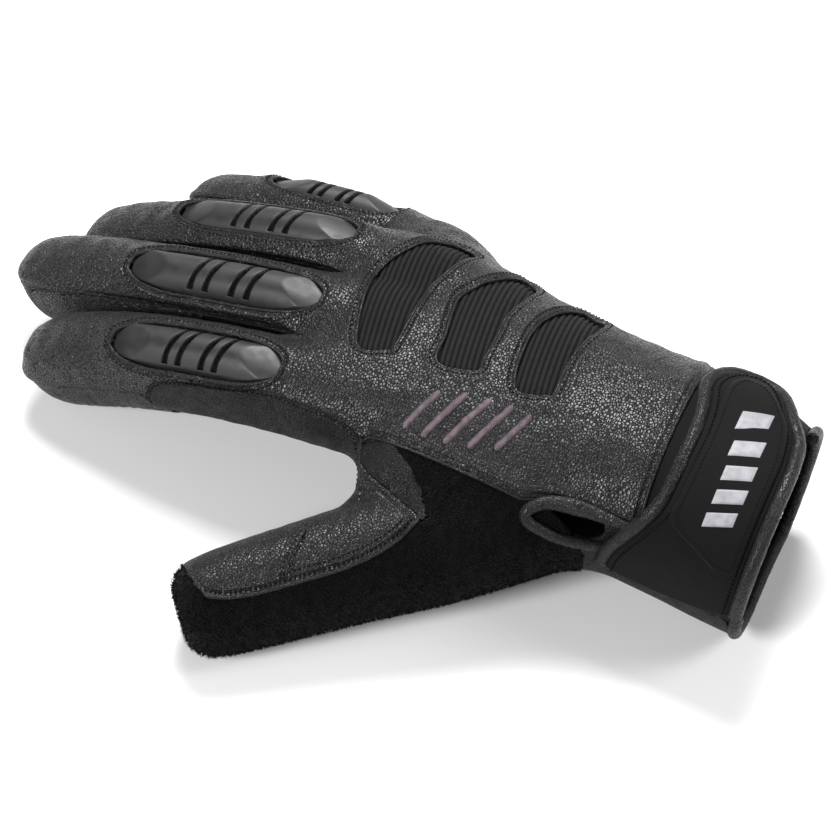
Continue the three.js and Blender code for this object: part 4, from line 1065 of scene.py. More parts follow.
def bar_height(along, side, length):
    """Height of a guard over the skin, and how far each point lies in a slit. The height is a half round
    across the bar, cut off by two slanted planes at its ends, less the slits, whose lines lean across it."""
    bar = GUARD_BULGE * np.sqrt(np.clip(1 - (side / (GUARD_WIDTH / 2 + 0.5)) ** 2, 0, 1)) - 0.6
    front = 0.15 + END_SLOPES[0] * along - 0.06 * side
    rear = 0.1 + END_SLOPES[1] * (length - along) + 0.10 * side
    height = -soft_max(-bar, -soft_min(front, rear, 0.3), 0.28)
    sunk = np.zeros(along.shape)
    for slit in SLITS:
        off = np.abs(along - slit * length + 0.34 * side) - 0.78 - 0.1 * np.cos(side)
        sunk = np.maximum(sunk, np.clip(0.5 - off / 0.22, 0, 1) * (np.abs(side) < 0.93 * GUARD_WIDTH / 2))
    return height - sunk * np.clip(height + 0.6, 0, SLIT_DEEP), sunk


for name, (start, end, shift) in GUARDS.items():
    d = FINGERS[name]
    length = (end - start) * d["length"]
    rows, columns = 260, 61
    at = np.linspace(0, 1, rows)[:, None] * np.ones(columns)
    across = np.sin(np.linspace(-1, 1, columns) * np.pi / 2)[None, :] * np.ones((rows, 1))
    half = table(GUARD_EDGE, 1, at.ravel()).reshape(at.shape) * GUARD_WIDTH / 2 + 0.35
    side = across * half
    along = at * length
    height, sunk = bar_height(along, side, length)
    share = (start + (end - start) * at).ravel()
    flat = digit_point(d, share, side.ravel() + shift * FINGER_WIDTH, np.full(at.size, d["half_depth"]))
    up = along_line(d, "up", share)
    base, normals = dropped(flat, up)
    top = base + up * (height.ravel()[:, None] - 0.15)
    faces = facing(top, grid_faces(rows, columns), np.array([0, 0, 1.0]))
    # Faces deep in a slit, which take the near-black painted shade.
    black = sunk.ravel()[faces].mean(1) > 0.45
    ring = np.r_[np.arange(columns), np.arange(2, rows + 1) * columns - 1,
                 (rows - 1) * columns + np.arange(columns - 2, -1, -1), np.arange(rows - 2, 0, -1) * columns]
    foot = top[ring] - up[ring] * 1.6
    skirt = np.stack([ring, np.roll(ring, -1), len(top) + (np.arange(len(ring)) + 1) % len(ring),
                      len(top) + np.arange(len(ring))], 1)
    a = top[skirt[:, 0]]
    middle = np.full(len(ring), shift * FINGER_WIDTH)
    outward = a - digit_point(d, share[ring], middle, np.full(len(ring), d["half_depth"]))
    skirt = facing(np.vstack([top, foot]), skirt, outward)
    order = np.argsort(black, kind="stable")
    faces = np.vstack([skirt, faces[order]])
    piece = mesh_piece(f"knuckle_bar_{name}", np.vstack([top, foot]), faces, rubber, slit_painted_shade,
                       len(skirt) + int((~black).sum()))
    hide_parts(f"knuckle_guard_{name}")

# The elastic over the knuckles and the back of the hand: three panels of black ribbed webbing sewn behind
# windows in the leather, their ribs running across the hand.
RIB_PITCH = 1.6  # from rib to rib across the ribs
elastic, elastic_shader = knitted("ribbed_elastic", (0.0012, 0.0012, 0.0014), (0.0055, 0.0055, 0.0062),
                                  (0.45, 0.6), 0.12, 0.9, "Y", 0.02)
elastic_place = add_node(elastic, "TexCoord").outputs["Object"]
# The ribs' crowns are painted lighter as highlight and their grooves near black as shade, from the crown
# height kept on the mesh.
elastic_crown = add_node(elastic, "Attribute", settings={"attribute_name": "crown"}).outputs["Fac"]
elastic_mix = ranged(elastic, mixed_noise(elastic, elastic_place, 0.7), 0.3, 0.7, 0.6, 1.0)
elastic_painted_rib_light = worked(elastic, "MULTIPLY", ranged(elastic, elastic_crown, 0.45, 1.0), elastic_mix)
elastic_tone = blended(elastic, elastic_painted_rib_light, (0.0006, 0.0006, 0.0007), (0.013, 0.013, 0.0145))
elastic.node_tree.links.new(elastic_tone, elastic_shader.inputs["Base Color"])
RIB_LEANS, RIB_HEIGHT = (0.14, 0.16, 0.13), 0.75
for i, outline in enumerate(RIB_OUTLINES):
    low, high = outline.min(0) - 1.5, outline.max(0) + 1.5
    across = np.arange(low[0], high[0], 0.22)
    down = np.arange(low[1], high[1], 0.9)
    u, v = np.meshgrid(across, down, indexing="ij")
    lean = RIB_LEANS[i]
    flat = np.stack([u.ravel(), v.ravel(), np.full(u.size, 60.0)], 1)
    bow = (u + lean * v - 0.0012 * v**2).ravel()
    keep_value = within(outline, flat[:, 0], flat[:, 1])
    base, normals = dropped(flat, np.tile([0, 0, 1.0], (len(flat), 1)), 9)
    phase = bow / RIB_PITCH * 2 * np.pi
    ribbed = np.abs(np.cos(phase / 2)) ** 0.6 * RIB_HEIGHT
    tuck = -1.0 + 0.5 * np.clip(keep_value / 3, 0, 1)
    top = base + normals * (ribbed + tuck)[:, None]
    faces = grid_faces(len(across), len(down))
    faces = faces[(keep_value[faces] > -1.4).all(1)]
    faces = facing(top, faces, np.array([0, 0, 1.0]))
    used, packed = np.unique(faces, return_inverse=True)
    k = len(used)
    packed = packed.reshape(-1, 4)
    a, b = free_sides(packed, k)
    rim = np.stack([b, a, a + k, b + k], 1)
    body = np.vstack([top[used], top[used] - normals[used] * 1.0])
    piece = mesh_piece(f"elastic_{i + 1}", body, np.vstack([packed, rim, packed[:, ::-1] + k]), elastic)
    # Height of each point on its rib, kept for the painted highlight on the crowns and the painted shade in
    # the grooves.
    crown = np.tile(ribbed[used] / RIB_HEIGHT, 2).astype(np.float32)
    piece.data.attributes.new("crown", "FLOAT", "POINT").data.foreach_set("value", crown)
    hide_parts(f"rib_panel_{i + 1}")

# The closure tab round the wrist: a thick neoprene strap that is wrapped over the back from the thumb side
# and lies closed on the band. Its far end is cut round.
# Angle round the wrist from the little finger's side, then both edges as shares of the hand
TAB_ROWS = np.array([
    (183, 0.69, 1), (174, 0.705, 1), (163, 0.732, 1), (150, 0.765, 1), (136, 0.79, 1), (120, 0.798, 1),
    (106, 0.8, 1), (94, 0.8, 0.997), (83, 0.79, 0.985), (73, 0.778, 0.955), (64, 0.785, 0.935),
    (56, 0.802, 0.915), (50, 0.825, 0.895), (47, 0.848, 0.872)])[::-1]
TAB_BASE, TAB_THICK = 0.5, 2.6  # height of its underside over the cuff, and its thickness


def hand_point(share, angle, offset):
    """Points of the cuff's surface: a superellipse in the section at that share, grown by offset, whose
    height over its middle carries it forward where the mouth leans."""
    roll = np.radians(table(HAND_SECTIONS, 5, share))
    width = table(HAND_SECTIONS, 3, share) * HAND_WIDTH / 2 + offset
    depth = table(HAND_SECTIONS, 4, share) * WRIST_DEPTH / 2
    middle = table(HAND_SECTIONS, 2, share) * KNUCKLE_HEIGHT + depth
    c, s = np.cos(angle), np.sin(angle)
    a = np.sign(c) * np.abs(c) ** (2 / ROUNDNESS) * width
    b = np.sign(s) * np.abs(s) ** (2 / ROUNDNESS) * (depth + offset)
    y = table(HAND_SECTIONS, 1, share) * HAND_WIDTH + a * np.cos(roll) - b * np.sin(roll)
    rise = a * np.sin(roll) + b * np.cos(roll)
    growth = np.clip((share - SLANT_START) / (HAND_SECTIONS[-2, 0] - SLANT_START), 0, 1)
    p = np.stack([share * HAND_LENGTH + MOUTH_SLANT * growth * rise, y, middle + rise], -1)
    p[..., 2] = np.maximum(p[..., 2], np.maximum(offset, 0) * 0.1)
    return p


def strap(name, rows, base, top, crown, material, node, across=90, steps=220):
    """A strap round the wrist: a grid of angles and of places between its two edges, at the base's and the
    top's height over the cuff, whose rim is rounded and whose top is crowned."""
    start, end = rows[0, 0], rows[-1, 0]
    reach = end - start
    even = np.linspace(0, 1, steps)
    t = 0.7 * even + 0.3 * (1 - np.cos(even * np.pi)) / 2
    angle = start + reach * t
    left, right = table(rows, 1, angle), table(rows, 2, angle)
    v = np.sin(np.linspace(-1, 1, across) * np.pi / 2) * 0.5 + 0.5
    share = left[:, None] + (right - left)[:, None] * v
    a = np.radians(angle)[:, None] * np.ones(across)
    width = (right - left)[:, None] * HAND_LENGTH
    inset = np.minimum(np.minimum(v, 1 - v)[None] * width, (angle - start)[:, None] / reach * 60 + 0.05)
    round_off = 1 - np.clip(1 - inset / 1.4, 0, 1) ** 2.2
    height = base + (top - base) * (0.45 + 0.55 * round_off) + crown * np.clip(inset / 6, 0, 1)
    outer = hand_point(share, a, height)
    inner = hand_point(share, a, np.full(share.shape, base))
    grid = grid_faces(steps, across)
    grid = facing(outer.reshape(-1, 3), grid, outer.reshape(-1, 3)[grid[:, 0]] - (106, -8, 26))
    n = steps * across
    x, y = free_sides(grid, n)
    rim = np.stack([y, x, x + n, y + n], 1)
    points = np.vstack([outer.reshape(-1, 3), inner.reshape(-1, 3)])
    piece = mesh_piece(name, points, np.vstack([grid, rim, grid[:, ::-1] + n]), material)
    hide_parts(node)
    return piece


# The neoprene's lighter tone lies on its knit crowns as painted highlight.
neoprene = knitted("neoprene", (0.0009, 0.0008, 0.0012), (0.0022, 0.0019, 0.0029), (0.42, 0.42), 0.06, 0.8,
                   "X", 0.02)[0]
tab = strap("closure_strap", TAB_ROWS, TAB_BASE, TAB_BASE + TAB_THICK, 0.5, neoprene, "closure_tab")

# The patch sewn on the tab: a thin smooth sheet with rounded corners, stitched down all round, that
# stiffens the end which the hand pulls.
OVERLAY_ROWS = np.array([
    (160, 0.93, 0.982), (151, 0.87, 0.982), (142, 0.812, 0.982), (128, 0.814, 0.982), (112, 0.818, 0.982),
    (96, 0.82, 0.98), (83, 0.814, 0.962), (73, 0.812, 0.93), (66, 0.82, 0.905), (61, 0.838, 0.88)])[::-1]
strap("tab_patch", OVERLAY_ROWS, TAB_BASE + TAB_THICK + 0.4, TAB_BASE + TAB_THICK + 1.5, 0.1, neoprene,
      "tab_overlay")

# The rolled edges: strips of thin goatskin folded round the raw edges of the tab, the mouth and the vent,
# with fine wrinkles where it goes round bends.



def swept(name, path, outward, section, material, closed=False, wrinkle=0.12, sizes=None):
    """A profile carried along a path: its first axis points outward and its second across both. Wrinkles run
    round the roll at uneven distances."""
    path, outward = np.asarray(path, float), np.asarray(outward, float)
    ahead = np.roll(path, -1, 0) - np.roll(path, 1, 0)
    if not closed:
        ahead[0], ahead[-1] = path[1] - path[0], path[-1] - path[-2]
    ahead /= np.linalg.norm(ahead, axis=1)[:, None]
    out = outward - (outward * ahead).sum(1)[:, None] * ahead
    out /= np.linalg.norm(out, axis=1)[:, None]
    beside = np.cross(ahead, out)
    u, v = section.T
    far = np.hypot(u, v)
    grow = np.ones(len(path)) if sizes is None else sizes
    u, v = grow[:, None] * u, grow[:, None] * v
    grid = path[:, None] + out[:, None] * u[..., None] + beside[:, None] * v[..., None]
    along = np.r_[0, np.cumsum(np.linalg.norm(np.diff(path, axis=0), axis=1))]
    if wrinkle:
        ahead_by = along.repeat(u.shape[1])[:, None] * 0.8
        crease = ripples(grid.reshape(-1, 3) + ahead_by, 3.1, 21).reshape(grid.shape[:2])
        grid = grid + (out[:, None] * u[..., None] + beside[:, None] * v[..., None]) / far[..., None] \
            * (-wrinkle * np.abs(crease)[..., None])
    n, m = u.shape
    faces = grid_faces(n, m, True)
    if closed:
        last = np.stack([(n - 1) * m + np.arange(m), np.arange(m), (np.arange(m) + 1) % m,
                         (n - 1) * m + (np.arange(m) + 1) % m], 1)
        faces = np.vstack([faces, last])
    points = grid.reshape(-1, 3)
    tris = np.vstack([faces[:, [0, 1, 2]], faces[:, [0, 2, 3]]])
    if not closed:
        points = np.vstack([points, path[0], path[-1]])
        j, k = np.arange(m), (np.arange(m) + 1) % m
        far_end = (n - 1) * m
        tris = np.vstack([tris, np.stack([j, k, np.full(m, n * m)], 1),
                          np.stack([far_end + k, far_end + j, np.full(m, n * m + 1)], 1)])
    centre = np.repeat(path, m, 0)
    tris_out = points[tris[:, 0]] - (centre[np.minimum(tris[:, 0], n * m - 1)])
    first = tris[:len(faces)]
    a, b, c = (points[first[:, k]] for k in range(3))
    if (np.cross(b - a, c - a) * tris_out[:len(faces)]).sum() < 0:
        tris = tris[:, ::-1]
    return mesh_piece(name, points, tris, material)


def resampled(path, spacing, closed=False):
    """Points at equal distances along a line of points."""
    path = np.vstack([path, path[:1]]) if closed else path
    at = np.r_[0, np.cumsum(np.linalg.norm(np.diff(path, axis=0), axis=1))]
    count = max(int(at[-1] / spacing), 2)
    want = np.linspace(0, at[-1], count + 1)[:-1] if closed else np.linspace(0, at[-1], count + 1)
    return np.stack([np.interp(want, at, path[:, k]) for k in range(path.shape[1])], 1)


ROLL = 1.9  # radius of a rolled edge
roll_turn = np.linspace(0, 2 * np.pi, 20, endpoint=False)
roll_section = np.stack([np.cos(roll_turn) * ROLL, np.sin(roll_turn) * ROLL], 1)
roll_leather = grained("rolled_goatskin", (0.0050, 0.0050, 0.0054), (0.009, 0.009, 0.0096), (0.6, 0.7, 0.7),
                       0.14, 0.28, 0.42, 0.4)

wrist_radius = (HAND_SECTIONS[-1, 3] * HAND_WIDTH + WRIST_DEPTH) / 4


def unrolled(rows):
    """The outline of a strap's rows laid flat, in millimetres along the hand and round the wrist."""
    turn = np.radians(rows[:, 0]) * wrist_radius
    return np.vstack([np.stack([rows[:, 2] * HAND_LENGTH, turn], 1),
                      np.stack([rows[::-1, 1] * HAND_LENGTH, turn[::-1]], 1)])


def rolled_up(flat, offset):
    """Points of a flat outline on the cuff, offset above it."""
    return hand_point(flat[:, 0] / HAND_LENGTH, flat[:, 1] / wrist_radius, np.full(len(flat), offset))


flat_edge = unrolled(TAB_ROWS[::-1])
flat_edge = resampled(smooth_outline(flat_edge, 8, False), 0.7)
ahead = np.gradient(flat_edge, axis=0)
ahead /= np.linalg.norm(ahead, axis=1)[:, None]
outside = np.stack([-ahead[:, 1], ahead[:, 0]], 1)
outside *= np.sign((outside * (flat_edge - flat_edge.mean(0))).sum())
flat_roll = flat_edge + outside * 1.2
tab_path = rolled_up(flat_roll, TAB_BASE + 1.6)
tab_above = rolled_up(flat_roll, TAB_BASE + 4.6)
tab_roll = swept("tab_rolled_edge", tab_path, tab_above - tab_path, roll_section * (1.05, 1.1), roll_leather)
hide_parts("tab_binding")

MOUTH_START, MOUTH_END = np.radians(188), np.radians(424)
mouth_turn = np.linspace(MOUTH_START, MOUTH_END, 260)
mouth_path = hand_point(np.full(260, 1 + 1.7 / HAND_LENGTH), mouth_turn, np.full(260, -LEATHER / 2))
mouth_path[:, 2] = np.maximum(mouth_path[:, 2], ROLL + 0.05)
mouth_above = hand_point(np.full(260, 1 + 1.7 / HAND_LENGTH), mouth_turn, np.full(260, 3.0))
mouth_roll = swept("mouth_rolled_edge", mouth_path, mouth_above - mouth_path, roll_section, roll_leather)
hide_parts("mouth_binding")

VENT_EDGE = [(87, 31.6), (79, 31.3), (73, 31.9), (68.5, 33.2), (64.2, 35.4), (61, 37.4), (59.9, 39.1),
             (61, 40.5), (64, 41.3), (68.5, 41.4), (74, 41.1), (80, 40.6), (88.5, 40)]  # along and height
vent_line = resampled(smooth_outline(VENT_EDGE, 8, False), 0.5)
ray = np.tile([0, -1.0, 0], (len(vent_line), 1))
beside_hand = np.stack([vent_line[:, 0], np.full(len(vent_line), -60.0), vent_line[:, 1]], 1)
vent_seat, vent_out = dropped(beside_hand, ray, 14)
vent_path = vent_seat + vent_out * 0.8
vent_size = np.interp(np.linspace(0, 1, len(vent_line)), (0, 0.3, 0.5, 0.72, 1), (0.9, 0.85, 0.95, 1.3, 0.8))
vent_roll = swept("vent_rolled_edge", vent_path, vent_out, roll_section, roll_leather, sizes=vent_size)
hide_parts("vent_binding")

# The seams of the back: every edge is folded in and shows as a fine round lip, with a row of black thread
# beside it that pulls the leather down.


def lip(path, normals, radius, lift, closed=False, sides=8):
    """A fine round fold along an edge: a circle carried along the path, lift above the skin."""
    if closed:
        normals, path = np.vstack([normals, normals[:1]]), np.vstack([path, path[:1]])
    both = resampled(np.hstack([path, normals]), 0.6)
    both = both[:-1] if closed else both
    p, n = both[:, :3], both[:, 3:]
    n = n / np.linalg.norm(n, axis=1)[:, None]
    ahead = np.roll(p, -1, 0) - np.roll(p, 1, 0)
    if not closed:
        ahead[0], ahead[-1] = p[1] - p[0], p[-1] - p[-2]
    ahead /= np.maximum(np.linalg.norm(ahead, axis=1), 1e-9)[:, None]
    beside = np.cross(n, ahead)
    turn = np.linspace(0, 2 * np.pi, sides, endpoint=False)
    size = radius * (1 + 0.12 * ripples(p, 4.0, 31))
    if not closed:
        size = size * np.clip(np.minimum(np.arange(len(p)), np.arange(len(p))[::-1]) / 3 + 0.15, 0, 1)
    grid = ((p + n * lift)[:, None] + beside[:, None] * np.cos(turn)[None, :, None] * size[:, None, None]
            + n[:, None] * np.sin(turn)[None, :, None] * size[:, None, None])
    rows = len(p) + 1 if closed else len(p)
    faces = grid_faces(rows, sides, True) % (len(p) * sides)
    return grid.reshape(-1, 3), faces[:, ::-1]


GRAIN_TURN = np.linspace(0, 2 * np.pi, 6, endpoint=False)
GRAIN = np.vstack([[[x, r * np.cos(a), r * np.sin(a)] for a in GRAIN_TURN]
                   for x, r in ((-0.5, 0.25), (-0.3, 0.85), (0, 1), (0.3, 0.85), (0.5, 0.25))])
GRAIN_FACES = grid_faces(5, 6, True)


def thread(path, normals, spacing, lift, width=0.27, closed=False, slant=0.0, fill=0.8):
    """A row of stitches at even distances: each is a short round grain along the path whose ends dip."""
    both = resampled(np.hstack([path, normals]), spacing, closed)
    if len(both) < 4:
        return np.zeros((0, 3)), np.zeros((0, 4), int)
    p, n = both[:, :3], both[:, 3:]
    ahead = np.roll(p, -1, 0) - p
    if not closed:
        ahead[-1] = ahead[-2]
    place = p + ahead / 2
    place, n, ahead = (place, n, ahead) if closed else (place[:-1], n[:-1], ahead[:-1])
    n = n / np.linalg.norm(n, axis=1)[:, None]
    size = np.linalg.norm(ahead, axis=1)
    ahead /= size[:, None]
    beside = np.cross(n, ahead)
    ahead = ahead * np.cos(slant) + beside * np.sin(slant)
    beside = np.cross(n, ahead)
    x, y, z = GRAIN.T
    bow = width * (1 - (2 * x) ** 2 * 1.4)
    grid = (place[:, None] + ahead[:, None] * (x * fill)[None, :, None] * size[:, None, None]
            + beside[:, None] * (y * width)[None, :, None]
            + n[:, None] * (z * width + bow + lift - width)[None, :, None])
    count = len(place)
    faces = (GRAIN_FACES[None] + np.arange(count)[:, None, None] * len(GRAIN)).reshape(-1, 4)
    return grid.reshape(-1, 3), faces[:, ::-1]


def gathered(name, parts, material):
    """Several loose meshes as one piece."""
    start = np.cumsum([0] + [len(p) for p, _ in parts])
    points = np.vstack([p for p, _ in parts])
    faces = np.vstack([f + s for (_, f), s in zip(parts, start)])
    piece = mesh_piece(name, points, faces, material)
    return piece


def moved_out(outline, distance):
    """A closed flat outline with every point moved outwards."""
    ahead = np.roll(outline, -1, 0) - np.roll(outline, 1, 0)
    ahead /= np.linalg.norm(ahead, axis=1)[:, None]
    side = np.stack([ahead[:, 1], -ahead[:, 0]], 1)
    area = (outline[:, 0] * np.roll(outline[:, 1], -1) - np.roll(outline[:, 0], -1) * outline[:, 1]).sum()
    return outline + side * np.sign(area) * distance


def on_finger_back(name, flat):
    """Points of a flat outline, along the finger and across it, dropped onto its back."""
    d = FINGERS[name]
    share = flat[:, 0] / d["length"]
    p = digit_point(d, share, flat[:, 1], np.full(len(flat), d["half_depth"]))
    return dropped(p, along_line(d, "up", share))


def from_above(flat):
    """Points of a flat outline seen from above, dropped onto the back."""
    high = np.column_stack([flat, np.full(len(flat), 60.0)])
    return dropped(high, np.tile([0, 0, 1.0], (len(flat), 1)), 10)


black_thread, thread_shader = finish_kind("black_thread", (0.0012, 0.0012, 0.0013), 0.7)
thread_shader.inputs["Specular IOR Level"].default_value = 0.12
lips, threads = [], []
for name in GUARDS:
    outline = resampled(guard_outline(name, 0.25), 0.8, True)
    for grow, made in ((0.5, "lip"), (1.65, "thread")):
        p, n = on_finger_back(name, moved_out(outline, grow))
        lift = back_relief(p, n)
        p = p + n * lift[:, None]
        if made == "lip":
            lips.append(lip(p, n, 0.52, 0.12, True))
        else:
            threads.append(thread(p, n, 1.35, 0.0, 0.3, True, 0.0, 0.66))
for outline in RIB_OUTLINES:
    outline = resampled(outline, 0.8, True)
    for grow, made in ((0.25, "lip"), (1.75, "thread")):
        p, n = from_above(moved_out(outline, grow))
        p = p + n * back_relief(p, n)[:, None]
        if made == "lip":
            lips.append(lip(p, n, 0.5, -0.05, True))
        else:
            threads.append(thread(p, n, 1.45, 0.0, 0.3, True, 0.0, 0.66))

FINGER_RUNS = {"index": ((-1, 0.6, 0.97), (1, 0.2, 0.97)), "middle": ((-1, 0.2, 0.97), (1, 0.2, 0.97)),
               "ring": ((-1, 0.2, 0.97), (1, 0.2, 0.97)), "little": ((-1, 0.2, 0.97), (1, 0.05, 0.97))}
for name, runs in FINGER_RUNS.items():
    d = FINGERS[name]
    near_run, far_run = runs
    round_tip = np.linspace(0.1, np.pi - 0.1, 24)
    out_share = np.r_[np.linspace(near_run[1], 0.97, 70), 0.97 + 0.035 * np.sin(round_tip),
                      np.linspace(0.97, far_run[1], 70)]
    out_side = np.r_[np.full(70, -1.0), -np.cos(round_tip), np.full(70, 1.0)]
    width = d["half_width"] * table(FINGER_SECTIONS, 1, np.clip(out_share, 0, 1))
    depth = d["half_depth"] * table(FINGER_SECTIONS, 2, np.clip(out_share, 0, 1))
    low, high = FINGER_SEAMS[name]
    rise = (low + (high - low) * (out_side + 1) / 2) * depth
    start = digit_point(d, out_share, out_side * width * 0.96, rise)
    run, run_out = onto_line(start, lambda q: above_seam(name, q)[0], 0.0, 5)
    lips.append(lip(run, run_out, 0.46, -0.1))
    stitch, stitch_out = onto_line(start, lambda q: above_seam(name, q)[0], 1.25, 5)
    threads.append(thread(stitch, stitch_out, 1.3, 0.0, 0.2))

edge_x = np.linspace(12, 89, 120)
edge_y = np.interp(edge_x, (12, 21, 33, 46, 56, 63, 79, 90), (-38, -40, -41.5, -41.7, -40.7, -39, -37, -36.5))
start = np.stack([edge_x, edge_y, np.full(120, 41.5)], 1)
run, run_out = onto_line(onto_skin(start)[0], back_field, 0.0, 8)
lips.append(lip(run, run_out, 0.5, 0.05))
stitch, stitch_out = onto_line(onto_skin(start)[0], back_field, 1.6, 8)
threads.append(thread(stitch, stitch_out, 1.3, 0.12, 0.24))
hem_turn = np.radians(np.linspace(8, 150, 160))
for level, made in ((0.3, "lip"), (2.0, "thread"), (3.3, "thread")):
    start = hand_point(np.full(160, HEM - level / HAND_LENGTH), hem_turn, np.zeros(160))
    run, run_out = onto_line(start, lambda q: HEM * HAND_LENGTH - q[:, 0], level, 4)
    if made == "lip":
        lips.append(lip(run, run_out, 0.6, 0.15))
    else:
        threads.append(thread(run, run_out, 1.25, 0.0, 0.24))

patch_flat = resampled(INDEX_PATCH, 0.8, True)
upper = np.roll(patch_flat[:, 1] > -3.5, 40)
for grow, made in ((-0.1, "lip"), (-1.5, "thread")):
    flat = np.roll(moved_out(patch_flat, grow), 40, axis=0)[upper]
    d = FINGERS["index"]
    share = flat[:, 0] / d["length"]
    p = digit_point(d, share, np.full(len(flat), -d["half_width"] - 1), flat[:, 1])
    p, n = dropped(p, -along_line(d, "side", share), 9)
    p = p + n * patch_relief(p, n)[:, None]
    if made == "lip":
        lips.append(lip(p, n, 0.5, -0.1))
    else:
        threads.append(thread(p, n, 1.45, 0.0, 0.3, False, 0.0, 0.66))

gathered("folded_edges", lips, roll_leather)
gathered("seam_thread", threads, black_thread)

# The seams of the thumb: the saddle's and the tip's folded edge over the towelling, with two rows of thread
# along the saddle, and the seam where tip and saddle meet.
lips, threads = [], []
for sign in (1, -1):
    share = np.linspace(0.955, 0.437, 150)
    side = table(THUMB_EDGE, 1, share) * THUMB_WIDTH
    start = onto_skin(digit_point(THUMB, share, side, np.full(len(share), sign * THUMB["half_depth"])))[0]
    for level, made in ((0.2, "lip"), (1.6, "thread"), (3.4, "thread")):
        run, run_out = onto_line(start, thumb_leather_field, level, 6)
        if made == "lip":
            lips.append(lip(run + run_out * 0.4, run_out, 0.55, 0.0))
        else:
            held = share < 0.78 if level > 2 else share < 2
            threads.append(thread((run + run_out * 0.4)[held], run_out[held], 1.35, 0.05, 0.26))
side = np.linspace(4, 15.5, 40)
share = np.interp(side, THUMB_SEAM[:, 0], THUMB_SEAM[:, 1])
start = onto_skin(digit_point(THUMB, share, side, np.full(40, THUMB["half_depth"] * 0.8)))[0]
for level, made in ((0.0, "lip"), (-1.3, "thread"), (1.3, "thread")):
    run, run_out = onto_line(start, thumb_seam_field, level, 6)
    if made == "lip":
        lips.append(lip(run + run_out * 0.3, run_out, 0.5, 0.0))
    else:
        threads.append(thread(run + run_out * 0.4, run_out, 1.35, 0.0, 0.22))
gathered("thumb_folded_edges", lips, roll_leather)
gathered("thumb_thread", threads, black_thread)

# The stitching of the closure tab: black thread, one row in the groove beside its rolled edge and one round
# the patch, each stitch a short grain whose ends dip.
threads = []
groove = flat_edge - outside * 2.1
row, above = (rolled_up(groove, TAB_BASE + TAB_THICK + lift) for lift in (0.35, 3))
threads.append(thread(row, above - row, 1.35, 0.15, 0.27))
flat = unrolled(OVERLAY_ROWS[::-1])
flat = moved_out(resampled(smooth_outline(flat, 4), 0.8, True), -1.5)
row, above = (rolled_up(flat, TAB_BASE + TAB_THICK + lift) for lift in (1.55, 4))
threads.append(thread(row, above - row, 1.2, 0.05, 0.22, True))
gathered("tab_thread", threads, black_thread)

# The decoration: slanted bars of mauve satin stitch on the back of the hand and a row of light
# grey bars printed on the tab's patch.
mauve, mauve_shader = finish_kind("mauve_thread", (0.13, 0.09, 0.115), 0.5)
mauve_place = add_node(mauve, "TexCoord").outputs["Object"]
mauve_share = ranged(mauve, mixed_noise(mauve, mauve_place, 1.5), 0.3, 0.7)
mauve_tone = blended(mauve, mauve_share, (0.085, 0.058, 0.075), (0.17, 0.12, 0.15))
mauve.node_tree.links.new(mauve_tone, mauve_shader.inputs["Base Color"])
bars = []
BAR_LEAN, BAR_WIDTH = 0.5, 2.1
for x, y, reach in ((24, -29, 5.6), (30.5, -28.5, 7.0), (37, -28, 7.4), (43.5, -27.5, 7.0), (50, -27, 5.6)):
    at = np.linspace(-1, 1, 60)
    flat = np.stack([x + BAR_LEAN * reach * at, y + reach * at], 1)
    p, n = from_above(flat)
    p = p + n * back_relief(p, n)[:, None]
    both = resampled(np.hstack([p, n]), 0.46)
    p, n = both[:, :3], both[:, 3:] / np.linalg.norm(both[:, 3:], axis=1)[:, None]
    ahead = np.gradient(p, axis=0)
    ahead /= np.linalg.norm(ahead, axis=1)[:, None]
    beside = np.cross(n, ahead)
    gx, gy, gz = GRAIN.T
    from_end = np.minimum(np.arange(len(p)), np.arange(len(p))[::-1])
    wide = BAR_WIDTH * (1 + 0.05 * ripples(p, 0.8, 5)) * np.clip(from_end / 2 + 0.6, 0, 1)
    bow = 0.34 * (1 - (2 * gx) ** 2)
    grid = (p[:, None] + beside[:, None] * gx[None, :, None] * wide[:, None, None]
            + ahead[:, None] * (gy * 0.2)[None, :, None] + ahead[:, None] * (gx * 0.35)[None, :, None]
            + n[:, None] * (gz * 0.2 + bow + 0.05)[None, :, None])
    faces = (GRAIN_FACES[None] + np.arange(len(p))[:, None, None] * len(GRAIN)).reshape(-1, 4)
    bars.append((grid.reshape(-1, 3), faces[:, ::-1]))
gathered("mauve_bars", bars, mauve)
grey_print, print_shader = finish_kind("grey_print", (0.30, 0.30, 0.325), 0.6)
print_place = add_node(grey_print, "TexCoord").outputs["Object"]
raised(grey_print, print_shader, mixed_noise(grey_print, print_place, 0.4, 2.0), 0.05, 0.6)
print_share = ranged(grey_print, mixed_noise(grey_print, print_place, 2.0), 0.3, 0.7)
print_tone = blended(grey_print, print_share, (0.21, 0.21, 0.225), (0.28, 0.28, 0.30))
grey_print.node_tree.links.new(print_tone, print_shader.inputs["Base Color"])
bars = []
CUFF_MIDDLE = (110, -8, 26)
for angle in (86, 98, 110, 122, 134):
    u, v = np.meshgrid(np.linspace(-1, 1, 17), np.linspace(-1, 1, 11), indexing="ij")
    x = 109.3 - 0.0016 * (angle - 122) ** 2 + 3.7 * u
    turn = np.radians(angle) + (1.9 * v - 1.0 * u) / wrist_radius
    edge = np.maximum(np.abs(u), np.abs(v))
    height = TAB_BASE + TAB_THICK + 1.62 + 0.2 * (1 - np.clip((edge - 0.8) / 0.2, 0, 1) ** 2)
    grid = hand_point(x / HAND_LENGTH, turn, height).reshape(-1, 3)
    faces = grid_faces(17, 11)
    faces = facing(grid, faces, grid[faces[:, 0]] - CUFF_MIDDLE)
    bars.append((grid, faces))
gathered("tab_bars", bars, grey_print)

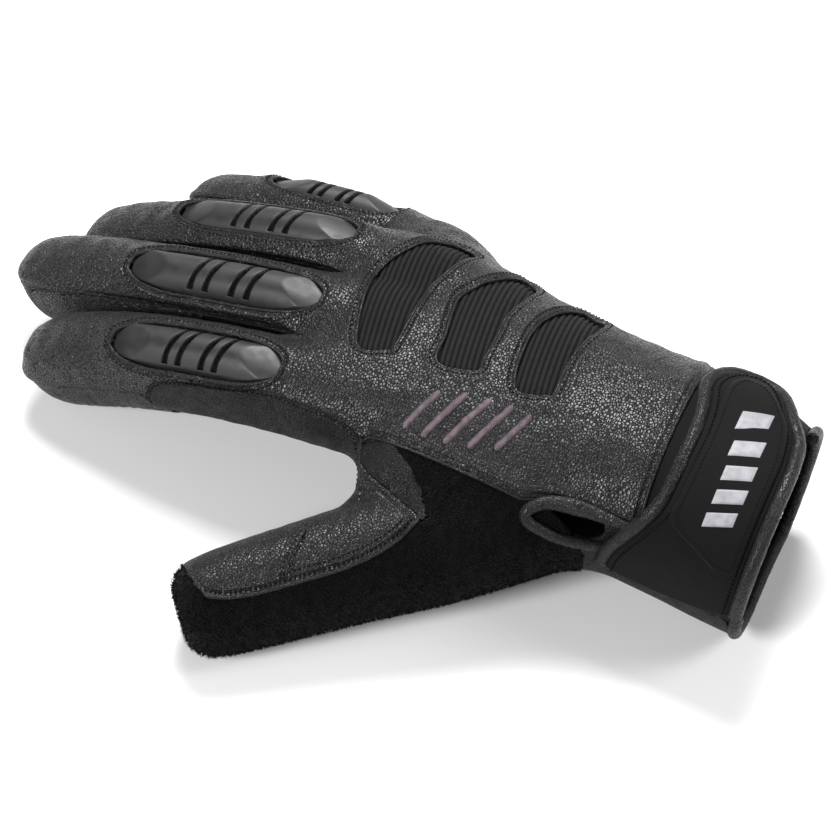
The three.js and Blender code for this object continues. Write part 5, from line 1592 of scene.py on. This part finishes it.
# The towelling's pile: short looped tufts of cotton that stand out all over the thumb's rough side and fray
# at its tip. Each is a thin three-sided spike with a bend, at a random place and lean.
draw = np.random.default_rng(7)
towel_points, towel_corners = cut_panel(terry_field)
area = np.linalg.norm(np.cross(towel_points[towel_corners[:, 1]] - towel_points[towel_corners[:, 0]],
                               towel_points[towel_corners[:, 2]] - towel_points[towel_corners[:, 0]]), axis=1)
TUFTS = 15000
pick = draw.choice(len(area), TUFTS, p=area / area.sum())
mix = draw.dirichlet((1, 1, 1), len(pick))
seat = (towel_points[towel_corners[pick]] * mix[..., None]).sum(1)
seat, seat_out = onto_skin(seat, 1)
share = on_digit(THUMB, seat)[0]
tip_share = np.clip((share - 0.88) / 0.1, 0, 1)
pile = (0.45 + 0.3 * draw.random(len(seat))) * (1 + 0.9 * tip_share * draw.random(len(seat)))
lean = draw.normal(size=(len(seat), 3)) * (0.35 + 0.25 * tip_share)[:, None]
tip_way = seat_out + lean
tip_way /= np.linalg.norm(tip_way, axis=1)[:, None]
flat_way = np.cross(tip_way, draw.normal(size=(len(seat), 3)))
flat_way /= np.linalg.norm(flat_way, axis=1)[:, None]
other_way = np.cross(tip_way, flat_way)
TUFT_RADIUS = 0.13
turn3 = np.array([0, 2.094, 4.189])
rings = []
for height, size in ((-0.1, 1.0), (0.6, 0.9), (1.0, 0.35)):
    centre = seat + tip_way * (pile * height)[:, None] + lean * (height**2 * 0.25)
    circle = (flat_way[:, None] * np.cos(turn3)[None, :, None]
              + other_way[:, None] * np.sin(turn3)[None, :, None])
    rings.append(centre[:, None] + TUFT_RADIUS * size * circle)
tufts = np.stack(rings, 1)
points = tufts.reshape(-1, 3)
first = np.arange(len(seat))[:, None, None] * 9
faces = (grid_faces(3, 3, True)[None] + first).reshape(-1, 4)
tops = (np.array([[6, 7, 8]])[None] + first).reshape(-1, 3)
tris = np.vstack([faces[:, [0, 1, 2]], faces[:, [0, 2, 3]], tops])
a, b, c = (points[tris[0, k]] for k in range(3))
if np.dot(np.cross(b - a, c - a), a - tufts[0, 0].mean(0)) < 0:
    tris = tris[:, ::-1]
pile_piece = mesh_piece("towel_pile", points, tris, towel)
